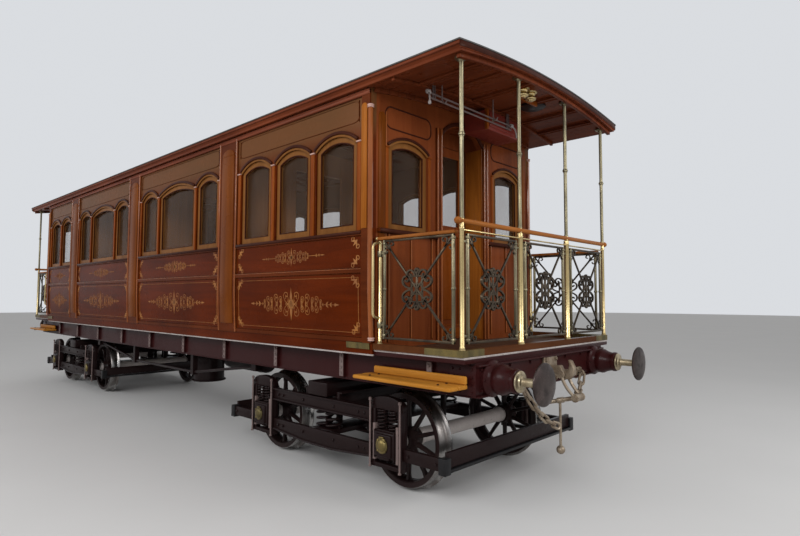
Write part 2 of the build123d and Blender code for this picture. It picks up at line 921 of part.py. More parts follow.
def side_mouldings():
    """Corner posts, pilasters and the waist and sill mouldings of the side at +Y."""
    foot = above(edging_top_up) + bead_foot_gap
    top = above(eave_up) - moulding_top_gap
    pieces = []
    for end in (-1, 1):
        inner = end * (body_half_length - corner_post_width)
        outer = end * body_half_length
        pieces.append(side_strip(min(inner, outer), max(inner, outer), foot, top, pilaster_proud))
    places = bays()
    for nearer, farther in zip(places, places[1:]):
        pieces.append(side_strip(farther[1], nearer[0], foot, top, pilaster_proud))
    for left, right in places:
        for height in (sill_up, waist_up, bottom_rail_up):
            low = above(height) - moulding_height / 2
            pieces.append(side_strip(left, right, low, low + moulding_height, moulding_proud))
    return fused(pieces)


def sash(centre, width, bottom, spring, crown, y_out):
    """Wooden sash that fills an arched opening, and the pane against its back."""
    outer = arched_outline(
        centre, width - 2 * seat_gap, bottom + seat_gap, spring - seat_gap, crown - seat_gap
    )
    light_width = width - 2 * sash_stile
    light_low = bottom + sash_stile
    light_spring = spring - sash_spring_drop
    light_crown = crown - sash_stile
    inner = arched_outline(centre, light_width, light_low, light_spring, light_crown)
    back = y_out - sash_thickness
    frame = extrude_y(outer, back, y_out) - extrude_y(inner, back, y_out)
    glass = arched_outline(
        centre,
        light_width + 2 * pane_lap,
        light_low - pane_lap,
        light_spring,
        light_crown + pane_lap,
        pane_chords,
    )
    return frame, extrude_y(glass, back - seat_gap - pane_thickness, back - seat_gap)


def side_sashes():
    """Sashes and panes of the side at +Y."""
    frames = []
    panes = []
    for centre, width in window_places():
        frame, pane = sash(
            centre,
            width,
            above(opening_bottom_up),
            above(opening_spring_up),
            above(opening_crown_up),
            body_half_width - sash_setback,
        )
        frames.append(frame)
        panes.append(pane)
    return frames, panes


# End walls and doors


def room_outline():
    """Outline across the room, from floor to ceiling between the side walls, in Y and Z."""
    half = body_half_width - wall_thickness - seat_gap
    foot = above(floor_top_up)
    top = above(ceiling_height(half)) - seat_gap
    sides = Polyline((-half, top), (-half, foot), (half, foot), (half, top))
    return sides + ThreePointArc((half, top), (0, above(ceiling_crown_up) - seat_gap), (-half, top))


def end_wall():
    """Near end wall with its two windows and the recessed doorway."""
    foot = above(floor_top_up)
    x1 = body_half_length
    x0 = x1 - end_wall_thickness
    wall = extrude_x(room_outline(), x0, x1)
    crown = above(doorway_crown_up)
    doorway = arched_outline(0, 2 * doorway_half_width, foot - through, above(doorway_spring_up), crown)
    outlines = [doorway] + [end_window_outline(y) for y in (-end_window_y, end_window_y)]
    wall -= [extrude_x(outline, x0 - through, x1 + through) for outline in outlines]
    recess_back = x1 - recess_depth
    back_x = recess_back - door_thickness
    reach = doorway_half_width + jamb_thickness
    pieces = [wall, block(recess_back, x0, -reach, reach, crown, crown + jamb_thickness)]
    for side in (-1, 1):
        pieces.append(block(recess_back, x0, side * doorway_half_width, side * reach, foot, crown))
    back = block(back_x, recess_back, -reach, reach, foot, crown + jamb_thickness)
    half = door_opening_half_width
    top = above(door_opening_top_up)
    back -= block(back_x - through, recess_back + through, -half, half, foot - through, top)
    return fused(pieces + [back] + door_knuckles(1, 1))


def end_window_outline(y):
    """Arched opening of an end window in Y and Z."""
    return arched_outline(
        y,
        end_window_width,
        above(end_window_bottom_up),
        above(end_window_spring_up),
        above(end_window_crown_up),
    )


def end_mouldings():
    """Doorway pilasters, window ledges and the beads of the boarding on the near end wall."""
    face = body_half_length
    foot = above(edging_top_up) + bead_foot_gap
    inner = end_pilaster_y + end_pilaster_width / 2
    outer = body_half_width - wall_thickness - ledge_end_gap
    ledge_high = above(end_window_bottom_up)
    ledge_low = ledge_high - ledge_height
    pieces = []
    for side in (-1, 1):
        y0 = side * (inner - end_pilaster_width)
        pilaster_foot = above(floor_top_up)
        pilaster_top = above(end_pilaster_top_up)
        parts = [block(face, face + end_pilaster_proud, y0, side * inner, pilaster_foot, pilaster_top)]
        parts.append(block(face, face + ledge_proud, side * inner, side * outer, ledge_low, ledge_high))
        for i in range(bead_count):
            y = side * (end_pilaster_y + bead_first + matchboard_pitch * i)
            half = bead_width / 2
            parts.append(block(face, face + bead_proud, y - half, y + half, foot, ledge_low))
        pieces.append(fused(parts))
    return pieces


def end_sashes():
    """Sashes and panes of the near end wall."""
    frames = []
    panes = []
    for y in (-end_window_y, end_window_y):
        frame, pane = sash(
            y,
            end_window_width,
            above(end_window_bottom_up),
            above(end_window_spring_up),
            above(end_window_crown_up),
            body_half_length - sash_setback,
        )
        turn = Rot(0, 0, -90)
        frames.append(mirror(turn * frame, Plane.XZ))
        panes.append(mirror(turn * pane, Plane.XZ))
    return frames, panes


def door_knuckles(side, place):
    """Hinge plates and knuckles on the inner face of the near door, of the leaf or of its frame."""
    inner_x = body_half_length - recess_depth - door_thickness
    pin_x = inner_x - door_knuckle_radius - door_plate_thickness
    pin_y = door_pin_y()
    pieces = []
    for height in door_hinge_places:
        z0 = above(height) + place * door_knuckle_height
        z1 = z0 + door_knuckle_height
        pieces.append(upright(pin_x, pin_y, z0, z1, door_knuckle_radius))
        back = pin_y + side * door_plate_back
        edge = pin_y + side * door_plate_width
        pieces.append(block(inner_x - door_plate_thickness, inner_x, back, edge, z0, z1))
        arm_x = pin_x + door_knuckle_radius / 2
        pieces.append(block(arm_x, inner_x, pin_y + side * door_arm_inset, back + side, z0, z1))
    return pieces


def door_pin_y():
    """Place across the coach of the near door's hinge pins."""
    return door_opening_half_width - door_gap / 2


def door():
    """Near door leaf, closed in its opening, and its pane."""
    x1 = body_half_length - recess_depth
    x0 = x1 - door_thickness
    half = door_opening_half_width - door_gap
    foot = above(floor_top_up) + door_gap
    top = above(door_opening_top_up) - door_gap
    glass_low = above(door_glass_bottom_up)
    glass_half = half - door_stile
    glass_top = top - door_stile
    leaf = block(x0, x1, -half, half, foot, top)
    leaf -= block(x0 - through, x1 + through, -glass_half, glass_half, glass_low, glass_top)
    panel_x = x1 - door_panel_recess
    panel_low = foot + door_bottom_rail
    leaf -= block(panel_x, x1 + through, -glass_half, glass_half, panel_low, glass_low - door_stile)
    middle = (x0 + x1) / 2
    pane = block(
        middle - pane_thickness / 2,
        middle + pane_thickness / 2,
        -glass_half + seat_gap,
        glass_half - seat_gap,
        glass_low + seat_gap,
        glass_top - seat_gap,
    )
    return fused([leaf] + door_knuckles(-1, 0)), pane


# Roof


def roof_boards():
    """Ceiling, cornice and the battens under the platform ceilings, as one timber shell."""
    end = pole_plane_x + roof_overhang
    edge = above(eave_up)
    corner = above(cornice_top_up)
    profile = (
        (eave_y, edge),
        (eave_y + cornice_bed, edge),
        (eave_y + cornice_bed, edge + cornice_bed_height),
        (cornice_y - cornice_nose, edge + cornice_nose_foot),
        (cornice_y, edge + cornice_nose_top),
        (cornice_y, corner),
    )
    under = ThreePointArc((-eave_y, edge), (0, above(ceiling_crown_up)), (eave_y, edge))
    right = Polyline(*profile)
    left = Polyline(*[(-y, z) for y, z in profile])
    over = ThreePointArc((cornice_y, corner), (0, above(roof_crown_up)), (-cornice_y, corner))
    pieces = [extrude_x(under + right + over + left, -end, end)]
    half = batten_width / 2
    for side in (-1, 1):
        x0 = side * (body_half_length + batten_setback)
        x1 = side * (end - batten_end_gap)
        for y in batten_places:
            middle = above(ceiling_height(y))
            pieces.append(block(x0, x1, y - half, y + half, middle - batten_depth, middle + batten_depth))
    return fused(pieces)


def roof_cover():
    """Canvas covering on the roof, with a small lip past the cornice."""
    end = pole_plane_x + roof_overhang + cover_lip
    edge = above(cornice_top_up)
    crown = above(roof_crown_up)
    outer = cornice_y + cover_lip
    lines = Polyline((cornice_y, edge), (outer, edge), (outer, edge + cover_thickness))
    other = Polyline((-cornice_y, edge), (-outer, edge), (-outer, edge + cover_thickness))
    under = ThreePointArc((-cornice_y, edge), (0, crown), (cornice_y, edge))
    over = ThreePointArc(
        (outer, edge + cover_thickness), (0, crown + cover_thickness), (-outer, edge + cover_thickness)
    )
    return extrude_x(under + lines + over + other, -end, end)


# Platform poles, handrails and balustrade


def ceiling_rose(x, y, radius, height):
    """Round plate that lies against the slope of the ceiling."""
    lean = math.degrees(math.asin(y / ceiling_radius()))
    seat = Pos(x, y, above(ceiling_height(y)) - seat_gap) * Rot(-lean, 0, 0)
    return seat * Pos(0, 0, -height) * bar(height, radius)


def poles():
    """Brass poles of the near platform, with their collars and roses, and the hinge posts."""
    rail_z = above(end_rail_up_centre)
    foot = above(edging_top_up)
    x = pole_plane_x
    stem_foot = rail_z + end_rail_radius
    collar = above(collar_up) - stem_foot
    pieces = []
    for y in (-pole_y, -inner_pole_y, inner_pole_y, pole_y):
        rose = ceiling_rose(x, y, flange_plate_radius, flange_plate_height)
        rows = (
            (0, pole_radius),
            (collar - collar_height / 2, pole_radius),
            (collar, collar_radius),
            (collar + collar_height / 2, pole_radius),
            (above(ceiling_height(y)) - flange_plate_height / 2 - stem_foot, pole_radius),
        )
        pieces.append(fused([Pos(x, y, stem_foot) * turned(rows, least_flats), rose]))
        radius = post_radius if abs(y) == inner_pole_y else pole_radius
        pieces.append(Pos(x, y, foot) * shod_post(radius, rail_z - end_rail_radius - foot))
    for y in (-pole_y, pole_y):
        height = above(panel_top_up) - hinge_post_drop - foot
        post = Pos(hinge_post_x(), y, foot) * shod_post(hinge_post_radius, height)
        pieces.append(fused([post, grab_rail(y)]))
    return pieces


def shod_post(radius, height):
    """Round post that stands in a shoe."""
    rim = radius + shoe_rim
    rows = ((0, rim), (shoe_height, rim), (shoe_height + shoe_slope, radius), (height, radius))
    return turned(rows, least_flats)


def grab_rail(y):
    """Bent grab rail on the outer side of a hinge post."""
    x = hinge_post_x()
    out = math.copysign(1, y)
    outer = y + out * grab_clear
    low = above(grab_bottom_up)
    high = above(grab_top_up)
    path = Polyline(
        (x, y, high),
        (x, outer - out * grab_bend, high),
        (x, outer, high - grab_bend),
        (x, outer, low + grab_bend),
        (x, outer - out * grab_bend, low),
        (x, y, low),
    )
    section = Plane(origin=(x, y, high), z_dir=(0, out, 0)) * RegularPolygon(grab_radius, least_flats)
    return sweep(section, path, transition=Transition.RIGHT)


def hinge_post_x():
    """Place along the coach of the near posts that carry the side gates."""
    return body_half_length + hinge_post_offset


def end_handrail():
    """Round wooden rail across the near platform, with its ball ends."""
    reach = pole_y + end_rail_overhang
    half = []
    for distance, width in ball_rows:
        half.append((reach + distance * end_ball_radius, width * end_ball_radius))
    rows = [(-y, radius) for y, radius in reversed(half)] + half
    rows.insert(len(half), (end_ball_radius - reach, end_rail_radius))
    rows.insert(len(half) + 1, (reach - end_ball_radius, end_rail_radius))
    return along_y(turned(rows, least_flats), pole_plane_x, 0, above(end_rail_up_centre))


def curl():
    """Curl of flat bar in X and Z about the origin, open below."""
    start = math.radians(90 + curl_span / 2)
    turns = [start - math.radians(curl_span) * i / curl_chords for i in range(curl_chords + 1)]
    outer = [(curl_radius * math.cos(turn), curl_radius * math.sin(turn)) for turn in turns]
    inside = curl_radius - scroll_bar
    inner = [(inside * math.cos(turn), inside * math.sin(turn)) for turn in reversed(turns)]
    return extrude_y(Polyline(*outer, *inner, outer[0]), -scroll_depth / 2, scroll_depth / 2)


def slab(half_width, half_height, half_depth):
    """Upright plate in X and Z about the origin."""
    return Box(2 * half_width, 2 * half_depth, 2 * half_height)


def framed(half_width, half_height, bar_size, half_depth):
    """Rectangular frame in X and Z about the origin."""
    hole = slab(half_width - bar_size, half_height - bar_size, half_depth + through)
    return slab(half_width, half_height, half_depth) - hole


def grille(width, low, high):
    """Balustrade panel in X and Z about x = 0: frame, crossed bars, plaque and curls."""
    half_height = (high - low) / 2
    pieces = [framed(width / 2, half_height, panel_stile, panel_depth / 2)]
    run = width / 2 - panel_stile
    rise = half_height - panel_stile
    angle = math.degrees(math.atan2(rise, run))
    for sign in (-1, 1):
        length = 2 * math.hypot(run, rise)
        pieces.append(Rot(0, sign * angle, 0) * Box(length, scroll_depth, scroll_bar))
        for side in (-1, 1):
            turn = Rot(0, 180 if sign < 0 else 0, 0)
            pieces.append(Pos(side * curl_x, 0, sign * curl_rise) * turn * curl())
    hole = slab(plaque_half_width - scroll_bar, plaque_half_height - scroll_bar, panel_depth)
    plaque = framed(plaque_half_width, plaque_half_height, scroll_bar, scroll_depth / 2)
    return Pos(0, 0, (low + high) / 2) * fused([fused(pieces) - hole, plaque])


def end_panels():
    """Three fixed balustrade panels between the near platform's poles."""
    low = above(panel_bottom_up)
    high = above(panel_top_up)
    outer_clear = (pole_y - pole_radius - inner_pole_y - post_radius) / 2
    outer_middle = (pole_y - pole_radius + inner_pole_y + post_radius) / 2
    inner_clear = inner_pole_y - post_radius
    reach = lug_size / 2
    pieces = []
    for centre, clear in ((-outer_middle, outer_clear), (0, inner_clear), (outer_middle, outer_clear)):
        half = clear - panel_clear
        parts = [Rot(0, 0, 90) * grille(2 * half, low, high)]
        for side in (-1, 1):
            for z in (low + lug_inset, high - lug_inset):
                y1 = side * (clear - seat_gap)
                parts.append(block(-reach, reach, side * half, y1, z - reach, z + reach))
        pieces.append(Pos(pole_plane_x, centre, 0) * fused(parts))
    return pieces


def side_gate():
    """Gate at the near platform's +Y side, closed, and its flat wooden rail."""
    post_x = hinge_post_x()
    x0 = post_x + gate_stile_offset
    x1 = pole_plane_x - gate_latch_gap
    low = above(panel_bottom_up)
    high = above(panel_top_up)
    pieces = [Pos((x0 + x1) / 2, pole_y, 0) * grille(x1 - x0, low, high)]
    half = lug_size / 2
    for z in (low + knuckle_inset, high - knuckle_inset):
        pieces.append(upright(post_x, pole_y, z - knuckle_height / 2, z + knuckle_height / 2, knuckle_radius))
        pieces.append(block(post_x, x0, pole_y - half, pole_y + half, z - half, z + half))
    gate = fused(pieces) - Pos(post_x, pole_y, low) * bore(high - low, hinge_post_radius + hinge_fit)
    half = side_rail_width / 2
    start = post_x - side_rail_back
    rail = block(start, x1 + side_rail_front, pole_y - half, pole_y + half, high, high + side_rail_height)
    return gate, rail


# Buffers, coupling and chains


def buffer_housing():
    """Cast housing of one buffer, at +X and +Y."""
    length = buffer_housing_rows[-1][0]
    housing = turned(buffer_housing_rows, buffer_flats)
    hole = bar(length, buffer_stem_radius + seat_gap, flats_of(buffer_stem_radius))
    housing -= Pos(0, 0, buffer_stem_sunk) * hole
    return along_x(housing, headstock_face_x, buffer_y, above(buffer_up))


def buffer_ram():
    """Stem and domed head of one buffer, at +X and +Y, with the ring round its stem."""
    head_start = buffer_length - buffer_head_rows[-1][0]
    stem = Pos(0, 0, buffer_stem_sunk) * bar(head_start - buffer_stem_sunk, buffer_stem_radius)
    head = Pos(0, 0, head_start) * turned(buffer_head_rows, buffer_flats)
    ring_start = buffer_housing_rows[-1][0]
    ring = Pos(0, 0, ring_start) * bar(buffer_ring_thickness, buffer_ring_radius)
    return along_x(fused([stem, head, ring]), headstock_face_x, buffer_y, above(buffer_up))


def coupling():
    """Draw hook of the near end, and the screw coupling that hangs from it."""
    face = headstock_face_x
    z = above(hook_up)
    half = hook_plate_size / 2
    plate = block(face, face + hook_plate_thickness, -half, half, z - half, z + half)
    outline = [(face + distance, z + height) for distance, height in hook_rows]
    hook = extrude_y(Polyline(*outline, outline[0]), -hook_thickness / 2, hook_thickness / 2)
    spread = coupling_spread + coupling_lap
    pin_x = face + coupling_pin_reach
    pin_z = z - coupling_pin_drop
    node_x = face + coupling_node_reach
    node_z = above(coupling_node_up)
    foot_z = above(coupling_foot_up)
    pieces = [plate, hook, cross_bar(pin_x, pin_z, -spread, spread, coupling_pin_radius)]
    for y in (-coupling_spread, coupling_spread):
        pieces.append(rod_between((pin_x, y, pin_z), (node_x, y, node_z), link_bar_radius))
    pieces.append(cross_bar(node_x, node_z, -spread, spread, coupling_node_radius))
    pieces.append(upright(node_x, 0, foot_z, node_z, coupling_screw_radius))
    pieces.append(cross_bar(node_x, foot_z, -spread, spread, coupling_foot_radius))
    lever_z = (foot_z + node_z) / 2
    lever_x = node_x - lever_arm
    ball_z = above(lever_foot_up)
    pieces.append(long_bar(0, lever_z, lever_x, node_x, lever_radius))
    pieces.append(upright(lever_x, 0, ball_z, lever_z, lever_radius))
    ball = [(distance * lever_ball_radius, width * lever_ball_radius) for distance, width in ball_rows]
    rows = [(-height, radius) for height, radius in reversed(ball[1:])] + ball
    pieces.append(Pos(lever_x, 0, ball_z) * turned(rows, least_flats))
    return fused(pieces)


def chain_link(start, finish, turn):
    """Oblong link round two points, its plane turned about the line between them."""
    line = Edge.make_line(start, finish)
    plane = Plane(origin=line.position_at(0.5), z_dir=line.tangent_at(0.5), x_dir=(1, 0, 0))
    half_width = chain_link_width / 2
    half_length = line.length / 2 + chain_bar_radius
    bar_size = 2 * chain_bar_radius
    outer = link_outline(half_width, half_length)
    inner = link_outline(half_width - bar_size, half_length - bar_size)
    ring = extrude_y(outer, -chain_bar_radius, chain_bar_radius)
    ring -= extrude_y(inner, -chain_bar_radius, chain_bar_radius)
    return plane * Rot(0, 0, turn) * ring


def link_outline(half_width, half_length):
    """Closed oblong with pointed ends in X and Z."""
    shoulder = half_length - chain_link_corner
    return Polyline(
        (half_width, -shoulder),
        (half_width, shoulder),
        (0, half_length),
        (-half_width, shoulder),
        (-half_width, -shoulder),
        (0, -half_length),
        (half_width, -shoulder),
    )


def side_chain(side, foot_y, foot_up, link_count):
    """Eye plate of the near end at one side, and the chain that hangs from it toward the middle."""
    face = headstock_face_x
    y = side * chain_eye_y
    z = above(chain_eye_up)
    half = chain_plate_half
    eye_x = face + chain_reach
    plate = block(face, face + chain_plate_thickness, y - half, y + half, z - half, z + half)
    half = chain_eye_half_width
    reach = chain_eye_half_height
    eye = block(face + chain_plate_thickness, eye_x + chain_eye_lip, y - half, y + half, z - reach, z + reach)
    hole = cross_bar(eye_x, z, y - 2 * half, y + 2 * half, chain_bar_radius + chain_eye_clear)
    start = Vector(eye_x, y, z)
    finish = Vector(face + chain_foot_reach, side * foot_y, above(foot_up))
    points = []
    for i in range(link_count + 1):
        t = i / link_count
        sag = 4 * chain_sag * t * (1 - t)
        points.append(start + (finish - start) * t - Vector(0, 0, sag))
    links = [chain_link(points[i], points[i + 1], 90 * (i % 2)) for i in range(link_count)]
    return [fused([plate, eye - hole])] + links


# Fittings under the platform roof


def platform_fittings():
    """Cupboard, lamps and the signal cord's rods under the near platform's ceiling."""
    far_y = cupboard_side_y + cupboard_length
    top = above(ceiling_height(far_y)) - seat_gap
    x0 = body_half_length + seat_gap
    pieces = [block(x0, x0 + cupboard_depth, cupboard_side_y, far_y, top - cupboard_height, top)]
    x = x0 + alarm_rod_offset
    y1 = cupboard_side_y - seat_gap
    y0 = y1 - alarm_rod_length
    low = above(alarm_rod_up) - alarm_rod_spread / 2
    bars = [cross_bar(x, z, y0, y1, alarm_rod_radius) for z in (low, low + alarm_rod_spread)]
    half = alarm_hanger_width / 2
    for y in (y0 + alarm_hanger_inset, y1 - alarm_hanger_inset):
        hanger_top = above(ceiling_height(abs(y) + half)) - seat_gap
        bars.append(block(x - half, x + half, y - half, y + half, low, hanger_top))
    pieces.append(fused(bars))
    lamp_x = pole_plane_x - lamp_setback
    for y in (lamp_y, lamp_y + lamp_pitch):
        body_top = above(ceiling_height(y)) - lamp_rose_height / 2
        body = upright(lamp_x, y, body_top - lamp_height, body_top, lamp_radius)
        pieces.append(fused([ceiling_rose(lamp_x, y, lamp_rose_radius, lamp_rose_height), body]))
    return pieces


# Inside


def partitions():
    """Partitions across the inside behind each pilaster, with a doorway."""
    half = partition_doorway_half_width
    foot = above(floor_top_up)
    head = above(partition_doorway_top_up)
    pieces = []
    places = bays()
    for nearer, farther in zip(places, places[1:]):
        x0 = (nearer[0] + farther[1] - partition_thickness) / 2
        x1 = x0 + partition_thickness
        hole = block(x0 - through, x1 + through, -half, half, foot - through, head)
        pieces.append(extrude_x(room_outline(), x0, x1) - hole)
    return pieces


def benches():
    """Upholstered benches along the sides of each bay."""
    foot = above(floor_top_up)
    wall = body_half_width - wall_thickness - seat_gap
    front = wall - bench_depth
    back = wall - bench_back
    seat = foot + bench_height
    outline = Polyline(
        (wall, foot),
        (front + bench_kick, foot),
        (front, seat - bench_kick),
        (front + bench_roll, seat),
        (back, seat),
        (back + bench_back_lean, foot + bench_back_height),
        (wall, foot + bench_back_height),
        (wall, foot),
    )
    half_pier = (pilaster_width - partition_thickness) / 2
    door_sweep = body_half_length - recess_depth - door_thickness - 2 * door_opening_half_width - bench_gap
    pieces = []
    for left, right in bays():
        x0 = max(left - half_pier + bench_gap, -door_sweep)
        x1 = min(right + half_pier - bench_gap, door_sweep)
        bench = extrude_x(outline, x0, x1)
        pieces += [bench, mirror(bench, Plane.XZ)]
    return pieces


def main():
    os.makedirs("parts", exist_ok=True)
    save("underframe", underframe())
    save("truss_rods", truss_rods())
    save("brake_gear", brake_gear())
    save("floor", [floor()])
    wood, brass = platform_edging()
    save("platform_edging", [copy for piece in wood for copy in both_ends(piece)])
    save("edging_corner_plates", [copy for piece in brass for copy in both_ends(piece)])
    save("steps", four_corners(steps()))

    right_wall = side_wall()
    save("side_wall_right", [right_wall])
    save("side_wall_left", [mirror(right_wall, Plane.XZ)])
    mouldings = side_mouldings()
    ends = [copy for piece in end_mouldings() for copy in both_ends(piece)]
    save("body_mouldings", [mouldings, mirror(mouldings, Plane.XZ)] + ends)
    frames, panes = side_sashes()
    side_frames = frames + [mirror(piece, Plane.XZ) for piece in frames]
    side_panes = panes + [mirror(piece, Plane.XZ) for piece in panes]
    end_frames, end_panes = end_sashes()
    end_frames = [copy for piece in end_frames for copy in both_ends(piece)]
    end_panes = [copy for piece in end_panes for copy in both_ends(piece)]
    save("window_sashes", side_frames + end_frames)
    save("window_glass", side_panes + end_panes)
    wall = end_wall()
    save("end_wall_near", [wall])
    save("end_wall_far", [Rot(0, 0, 180) * wall])
    leaf, pane = door()
    save("door_near", [leaf])
    save("door_glass_near", [pane])
    save("door_far", [Rot(0, 0, 180) * leaf])
    save("door_glass_far", [Rot(0, 0, 180) * pane])

    save("roof_boards", [roof_boards()])
    save("roof_cover", [roof_cover()])
    save("partitions", partitions())
    save("benches", benches())

    save("poles", [copy for piece in poles() for copy in both_ends(piece)])
    save("end_handrails", both_ends(end_handrail()))
    save("end_panels", [copy for piece in end_panels() for copy in both_ends(piece)])
    panel, rail = side_gate()
    for name, turn in (("near", 0), ("far", 180)):
        for side, flip in (("right", False), ("left", True)):
            pieces = [panel, rail]
            if flip:
                pieces = [mirror(piece, Plane.XZ) for piece in pieces]
            if turn:
                pieces = [mirror(piece, Plane.YZ) for piece in pieces]
            save(f"side_gate_{name}_{side}", [pieces[0]])
            save(f"gate_rail_{name}_{side}", [pieces[1]])

    save("buffer_housings", four_corners(buffer_housing()))
    save("buffer_heads", four_corners(buffer_ram()))
    save("couplings", both_ends(coupling()))
    chains = [piece for row in side_chains for piece in side_chain(*row)]
    save("side_chains", [copy for piece in chains for copy in both_ends(piece)])
    save("platform_fittings", platform_fittings())

    frame = bogie_frame()
    boxes = axleboxes()
    wheels = wheelset()
    for name, place in (("near", bogie_centre_x), ("far", -bogie_centre_x)):
        save(f"bogie_frame_{name}", [Pos(place, 0, 0) * piece for piece in frame])
        save(f"axleboxes_{name}", [Pos(place, 0, 0) * piece for piece in boxes])
        outward = 1 if place > 0 else -1
        for which, offset in (("outer", outward * half_wheelbase), ("inner", -outward * half_wheelbase)):
            axle = Pos(place + offset, 0, above(tread_radius))
            save(f"wheelset_{name}_{which}", [axle * piece for piece in wheels])


main()
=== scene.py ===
import bpy
import bmesh
import math
from mathutils import Matrix, Vector


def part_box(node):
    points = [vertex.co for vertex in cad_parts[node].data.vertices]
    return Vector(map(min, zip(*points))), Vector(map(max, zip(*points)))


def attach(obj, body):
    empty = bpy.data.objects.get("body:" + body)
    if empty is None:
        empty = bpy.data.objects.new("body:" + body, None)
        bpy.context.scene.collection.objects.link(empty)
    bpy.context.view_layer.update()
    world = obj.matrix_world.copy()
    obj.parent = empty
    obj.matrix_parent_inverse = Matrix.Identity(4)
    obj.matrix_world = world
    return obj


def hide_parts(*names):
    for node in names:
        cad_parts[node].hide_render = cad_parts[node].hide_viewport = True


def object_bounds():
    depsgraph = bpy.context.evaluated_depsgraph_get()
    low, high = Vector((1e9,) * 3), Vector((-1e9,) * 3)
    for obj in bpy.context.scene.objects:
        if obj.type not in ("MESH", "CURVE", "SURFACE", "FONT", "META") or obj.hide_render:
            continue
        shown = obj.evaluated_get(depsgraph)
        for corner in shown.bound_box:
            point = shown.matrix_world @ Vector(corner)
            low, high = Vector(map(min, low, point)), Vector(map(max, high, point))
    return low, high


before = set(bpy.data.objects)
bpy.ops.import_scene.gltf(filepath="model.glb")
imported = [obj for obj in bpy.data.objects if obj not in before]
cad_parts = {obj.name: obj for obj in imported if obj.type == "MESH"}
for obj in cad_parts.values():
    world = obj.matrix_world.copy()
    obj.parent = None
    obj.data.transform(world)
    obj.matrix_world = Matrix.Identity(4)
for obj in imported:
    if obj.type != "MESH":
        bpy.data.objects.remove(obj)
cad_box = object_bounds()

# Places on the coach, in metres. Heights are over the flange tips, so a height above the rail
# has flange added to it.
flange = 0.028
body_x = 4.493
body_y = 1.236
wall_foot = flange + 1.152
waist = flange + 1.830
tumblehome = 0.028
pole_x = 5.375
pole_y = 1.180
inner_pole_y = 0.400
pole_radius = 0.016
inner_pole_radius = 0.023
gate_x = body_x + 0.056
edging_top = flange + 1.240
floor_top = flange + 1.190
eave = flange + 3.334
eave_y = 1.285
ceiling_crown = flange + 3.440
roof_x = pole_x + 0.096
roof_edge = flange + 3.402
roof_y = 1.326
roof_rise = 0.086
door_x = body_x - 0.220
headstock_x = 5.399
solebar_top = flange + 1.143
buffer_y = 0.860
buffer_z = flange + 1.016
bogie_x = 3.565
half_wheelbase = 0.910
axle_height = flange + 0.400
window_foot = flange + 2.166
window_spring = flange + 2.915
window_rise = 0.095
bays = ((2.423, 4.395), (-0.162, 2.053), (-2.747, -0.532), (-4.395, -3.117))
bay_windows = ((0.545, 0.545, 0.545), (0.500, 0.960, 0.500), (0.500, 0.960, 0.500), (0.520, 0.520))
bay_piers = (0.092, 0.070, 0.070, 0.092)
pilaster = 0.370

# How far trim is let into the wood behind it, how near two points are one, and the angle in
# degrees from which an edge is sharp.
sunk = 0.004
touching = 1e-6
sharp = 35

# Ends of the coach, hands of an end, and turns: an upright piece is laid with its top to +X, +Y
# or -Y, and a piece that faces along Y is turned to face along X.
ends = (("near", 1), ("far", -1))
hands = (("right", 1), ("left", -1))
lay_x = (0, math.pi / 2, 0)
lay_y = (-math.pi / 2, 0, 0)
lay_back = (math.pi / 2, 0, 0)
quarter_back = (0, 0, -math.pi / 2)
half_turn = Matrix.Rotation(math.pi, 4, "Z")
mirror_y = Matrix.Scale(-1, 4, (0, 1, 0))
mirror_x = Matrix.Scale(-1, 4, (1, 0, 0))


# Shaping tools


def rest():
    """Leave edit mode with nothing selected."""
    if bpy.context.object and bpy.context.object.mode != "OBJECT":
        bpy.ops.object.mode_set(mode="OBJECT")
    bpy.ops.object.select_all(action="DESELECT")


def take(piece):
    """Make one piece the only one selected."""
    rest()
    piece.select_set(True)
    bpy.context.view_layer.objects.active = piece


def edit(piece):
    """Open one piece for editing with nothing in it selected."""
    take(piece)
    bpy.ops.object.mode_set(mode="EDIT")
    bpy.ops.mesh.select_all(action="DESELECT")


def gone(*pieces):
    """Delete pieces that were only copied."""
    rest()
    for piece in pieces:
        piece.select_set(True)
    bpy.ops.object.delete()


def pick(piece, kind, test):
    """Select only the faces, edges or verts of the piece being edited that pass a test."""
    bpy.ops.mesh.select_all(action="DESELECT")
    bpy.ops.mesh.select_mode(type=kind[:-1].upper())
    shape = bmesh.from_edit_mesh(piece.data)
    for part in filter(test, getattr(shape, kind)):
        part.select_set(True)
    shape.select_flush_mode()
    bmesh.update_edit_mesh(piece.data)


def trace(name, points, closed=False, filled=False):
    """Line drawn from point to point, and the face inside it where it is filled."""
    rest()
    bpy.ops.mesh.primitive_plane_add(size=0.01, location=points[0])
    piece = bpy.context.object
    piece.name = name
    bpy.ops.object.transform_apply(location=True, rotation=True, scale=True)
    edit(piece)
    bpy.ops.mesh.select_mode(type="VERT")
    bpy.ops.mesh.select_all(action="SELECT")
    bpy.ops.mesh.merge(type="CENTER")
    for here, there in zip(points, points[1:]):
        step = tuple(b - a for a, b in zip(here, there))
        bpy.ops.mesh.extrude_region_move(TRANSFORM_OT_translate={"value": step})
    if closed or filled:
        first, last = Vector(points[0]), Vector(points[-1])
        pick(piece, "verts", lambda v: (v.co - first).length < touching or (v.co - last).length < touching)
        bpy.ops.mesh.edge_face_add()
    bpy.ops.mesh.select_all(action="SELECT")
    if filled:
        bpy.ops.mesh.edge_face_add()
    return piece


def outward(piece):
    """Merge what meets, and turn all faces out."""
    edit(piece)
    bpy.ops.mesh.select_all(action="SELECT")
    bpy.ops.mesh.remove_doubles(threshold=1e-5)
    bpy.ops.mesh.normals_make_consistent(inside=False)
    bpy.ops.mesh.select_all(action="DESELECT")
    rest()
    return piece


